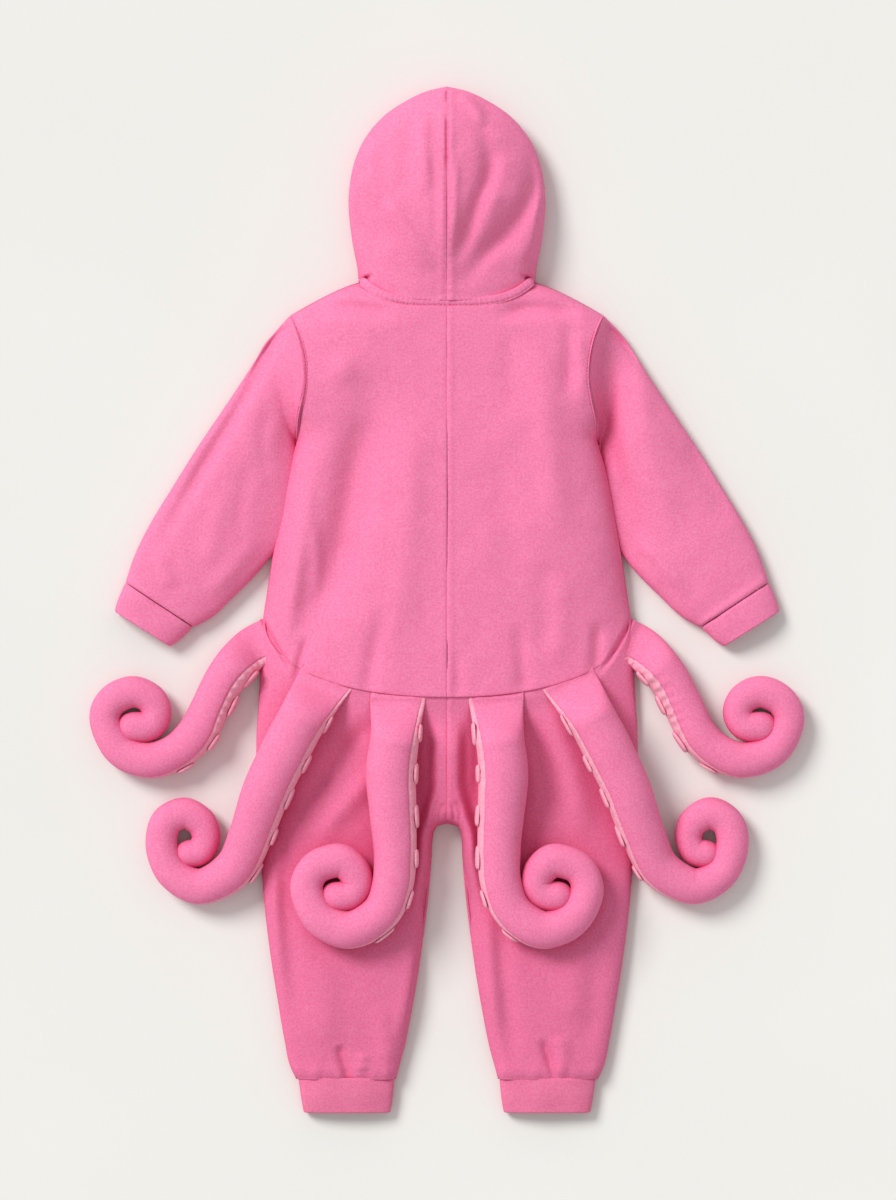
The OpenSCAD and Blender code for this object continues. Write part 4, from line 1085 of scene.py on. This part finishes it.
def tentacle_skin(plan, part, count, seed):
    """Panel of skin: the top runs over the back of the tentacle, the underside below it."""
    n = len(plan["knots"]) - 1
    t = ring_places(n)
    share = np.linspace(0, 1, count)
    upper = seam_angle(plan, t)[:, None]
    ends = (UNDER_BOTTOM + 360, upper) if part == "top" else (upper, UNDER_BOTTOM)
    angle = mix(ends[0], ends[1], share[None])
    is_top = part == "top"
    middle = limb(plan, t, angle * 0 + 90)[:, :1]
    run = np.concatenate([[0], np.cumsum(np.linalg.norm(np.diff(middle[:, 0], axis=0), axis=1))])[:, None]
    # Distance from the nearer seam along the girth, in millimetres
    reach = np.interp(t, np.arange(n + 1), np.array(plan["knots"], float)[:, 2])[:, None]
    inland = np.minimum(share, 1 - share)[None] * np.radians(abs(ends[1] - ends[0])) * reach
    sewn = smooth(run / 16) * smooth((run[-1] - run) / 10)
    groove = 0.9 * bump(inland / 1.4) * sewn
    ruffle = plan["ruffle"] * (0.3 if is_top else 1) * smooth((4.4 - t) / 1.6)[:, None]
    pucker = (ruffle * np.sin(run * 2 * np.pi / 11 + 2.2 * np.sin(run / 17)) * bump((inland - 5) / 6)
              + 0.2 * uneven(run, inland * 1.0, 12, seed) * bump(inland / 10))
    lumps = 0.35 * uneven(run, angle * 0.35, 38, seed + 2) + 0.1 * uneven(run, angle * 0.35, 14, seed + 4)
    inset = groove - (pucker + lumps) * sewn
    skin = np.array([limb(plan, t[i:i + 1], angle[i:i + 1], inset[i:i + 1])[0] for i in range(len(t))])
    # The skin is gathered flat where it is sewn into the waist seam
    gather = 0.5 * uneven(angle * 0.4, run * 0, 6, seed + 6) * bump(run / 9)
    skin[..., 2] += (gather - 2.4 * bump(run / 2.4)) * (np.sin(np.radians(angle)) > 0)
    skin[..., 2] = np.maximum(skin[..., 2], 0.3)
    return skin


def build_tentacle(name, side):
    plan = TENTACLES[name]
    body = f"{name}_{side}_tentacle"
    seed = 40 + 7 * list(TENTACLES).index(name) + SIDES[side]
    made = []
    parts = [("top", 64, PINK_FLEECE, "fleece"), ("underside", 44, PALE_FLEECE, "pale_fleece")]
    for part, count, material, slot in parts:
        grid = on_side(tentacle_skin(plan, part, count, seed), side)
        piece = stuffed(f"{name}_{side}_{part}_skin", grid, wrapped=False)
        nodes = [f"{name}_{side}_{part}"]
        if part == "top":
            nodes.append(f"{name}_{side}_filling")
        tidy_piece(piece, None, material, slot, *nodes)
        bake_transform(piece)
        made.append(piece)
    made.append(build_suckers(name, side, plan, body, seed))
    return made


def build_suckers(name, side, plan, body, seed):
    """Flat padded tabs sewn along the underside, a little longer than they are high."""
    profile = [(0, 2.3), (0.5, 2.3), (0.8, 2), (0.95, 1.2), (1, 0.2), (0.95, -0.8), (0, -0.8)]
    shape = through(profile, np.linspace(0, len(profile) - 1, 34))
    turn = np.linspace(0, 2 * np.pi, 44, endpoint=False)
    points, quads = [], []
    for place in plan["suckers"]:
        q = min(float(seam_angle(plan, place)) - 32, 8)
        t = np.array([float(place)])
        p = limb(plan, t, np.array([[q]]), np.array([[-0.2]]))[0, 0]
        deep = limb(plan, t, np.array([[q]]), np.array([[6.0]]))[0, 0]
        v = unit(p - deep)
        side_way = unit(np.cross(v, [0, 0, 1.0]))
        up_way = np.cross(side_way, v)
        r = shape[:, 0:1] * (1 + 0.05 * np.sin(3 * turn + place + seed))
        length, height = 10.5 + 1.5 * math.sin(seed + 4 * place), 6.5
        ring = (p + (r * length * signed_power(np.cos(turn), 0.75))[..., None] * side_way
                + (r * height * signed_power(np.sin(turn), 0.75))[..., None] * up_way
                + shape[:, 1:2, None] * v)
        first = sum(len(x) for x in points)
        points.append(ring.reshape(-1, 3))
        quads.append(grid_quads(ring.shape[0], ring.shape[1], first, True, flipped=SIDES[side] > 0))
    piece = make_object(f"{name}_{side}_sucker_pads", on_side(np.concatenate(points), side),
                        np.concatenate(quads))
    return tidy_piece(piece, body, PALE_FLEECE, "pale_fleece", f"{name}_{side}_suckers")


# ---- Zip and trim ----------------------------------------------------------------
def dress_nodes():
    """The zip, its pull and the label keep their CAD shapes and get finished materials."""
    finishes = {"zip_tape_left": TAPE, "zip_tape_right": TAPE, "zip_teeth_left": NYLON,
                "zip_teeth_right": NYLON, "zip_stops": NYLON, "zip_slider": NYLON, "zip_pull": NYLON,
                "care_label": LABEL}
    for node, material in finishes.items():
        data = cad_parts[node].data
        data.materials.clear()
        data.materials.append(material)


def build_chin_guard():
    """The tab of fleece that covers the top of the zip."""
    (x0, y0, z0), (x1, y1, z1) = [[c / MM for c in corner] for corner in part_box("chin_guard")]
    u = np.linspace(0, 2 * np.pi, 48, endpoint=False)
    rows = np.sin(np.linspace(-1, 1, 30) * np.pi / 2)
    size = np.sqrt(np.sqrt(np.maximum(1 - rows ** 4, 0.0004)))[:, None]
    x = (x0 + x1) / 2 + (x1 - x0) / 2 * size * signed_power(np.cos(u), 0.5)
    z = (z0 + z1) / 2 + (z1 - z0) / 2 * size * signed_power(np.sin(u), 0.5)
    y = np.broadcast_to(((y0 + y1) / 2 + (y1 - y0) / 2 * rows)[:, None], x.shape)
    piece = closed_tube("chin_guard_tab", np.stack([x, y, z], -1))
    return tidy_piece(piece, "garment", PINK_FLEECE, "fleece", "chin_guard")


# ---- Floor, light and camera -----------------------------------------------------
def build_studio():
    floor_material, nodes, links, shader = new_material("pale_paper")
    place = nodes.new("ShaderNodeTexCoord").outputs["Object"]
    links.new(ramp(nodes, links, noise(nodes, links, place, 3, 2), (0.85, 0.845, 0.82), (0.87, 0.865, 0.84)),
              shader.inputs["Base Color"])
    shader.inputs["Roughness"].default_value = 0.95
    shader.inputs["Specular IOR Level"].default_value = 0.1
    floor = make_object("floor", [(-6000, -6000, -0.4), (6000, -6000, -0.4), (6000, 6000, -0.4),
                                  (-6000, 6000, -0.4)], [(0, 1, 2, 3)])
    floor.data.materials.append(floor_material)

    world = bpy.data.worlds.new("studio")
    world.use_nodes = True
    world.node_tree.nodes["Background"].inputs["Color"].default_value = (1, 0.995, 0.985, 1)
    world.node_tree.nodes["Background"].inputs["Strength"].default_value = WORLD_LIGHT
    bpy.context.scene.world = world

    light = bpy.data.lights.new("key", "SUN")
    light.energy = KEY_POWER
    light.angle = math.radians(KEY_SPREAD)
    light.color = (1, 0.99, 0.97)
    key = bpy.data.objects.new("key", light)
    key.location = KEY_PLACE
    key.rotation_euler = look_at(KEY_PLACE, (0, 0, 0))
    bpy.context.scene.collection.objects.link(key)


def look_at(place, target):
    from mathutils import Vector
    return (Vector(target) - Vector(place)).to_track_quat("-Z", "Y").to_euler()


WORLD_LIGHT = 0.54
KEY_POWER = 2.38
KEY_SPREAD = 24
KEY_PLACE = (-3.4, 3.1, 3.8)
CAMERA_HEIGHT = 6.0
FRAME_HEIGHT = 1.2


def build_camera():
    data = bpy.data.cameras.new("camera")
    data.sensor_fit = "VERTICAL"
    data.sensor_height = 24
    data.lens = data.sensor_height * (CAMERA_HEIGHT - 0.02) / FRAME_HEIGHT
    data.clip_end = 50
    camera = bpy.data.objects.new("camera", data)
    camera.location = (0.001, 0, CAMERA_HEIGHT)
    bpy.context.scene.collection.objects.link(camera)
    bpy.context.scene.camera = camera


bpy.context.scene.view_settings.view_transform = "Standard"
build_studio()
build_camera()
for side in SIDES:
    build_back(side)
    build_front(side)
    build_trouser_back(side)
    build_trouser_front(side)
    build_sleeve(side)
    build_cuff(f"wrist_band_{side}", side, WRIST_ROWS, f"arm_{side}", PINK_FLEECE, f"wrist_cuff_{side}", 51)
    build_cuff(f"ankle_band_{side}", side, ANKLE_ROWS, "garment", ANKLE_FLEECE, f"ankle_cuff_{side}", 57)
    build_hood(side)
    for name in TENTACLES:
        build_tentacle(name, side)
build_neck_binding()
build_face_binding()
build_chin_guard()
build_stitches()
dress_nodes()
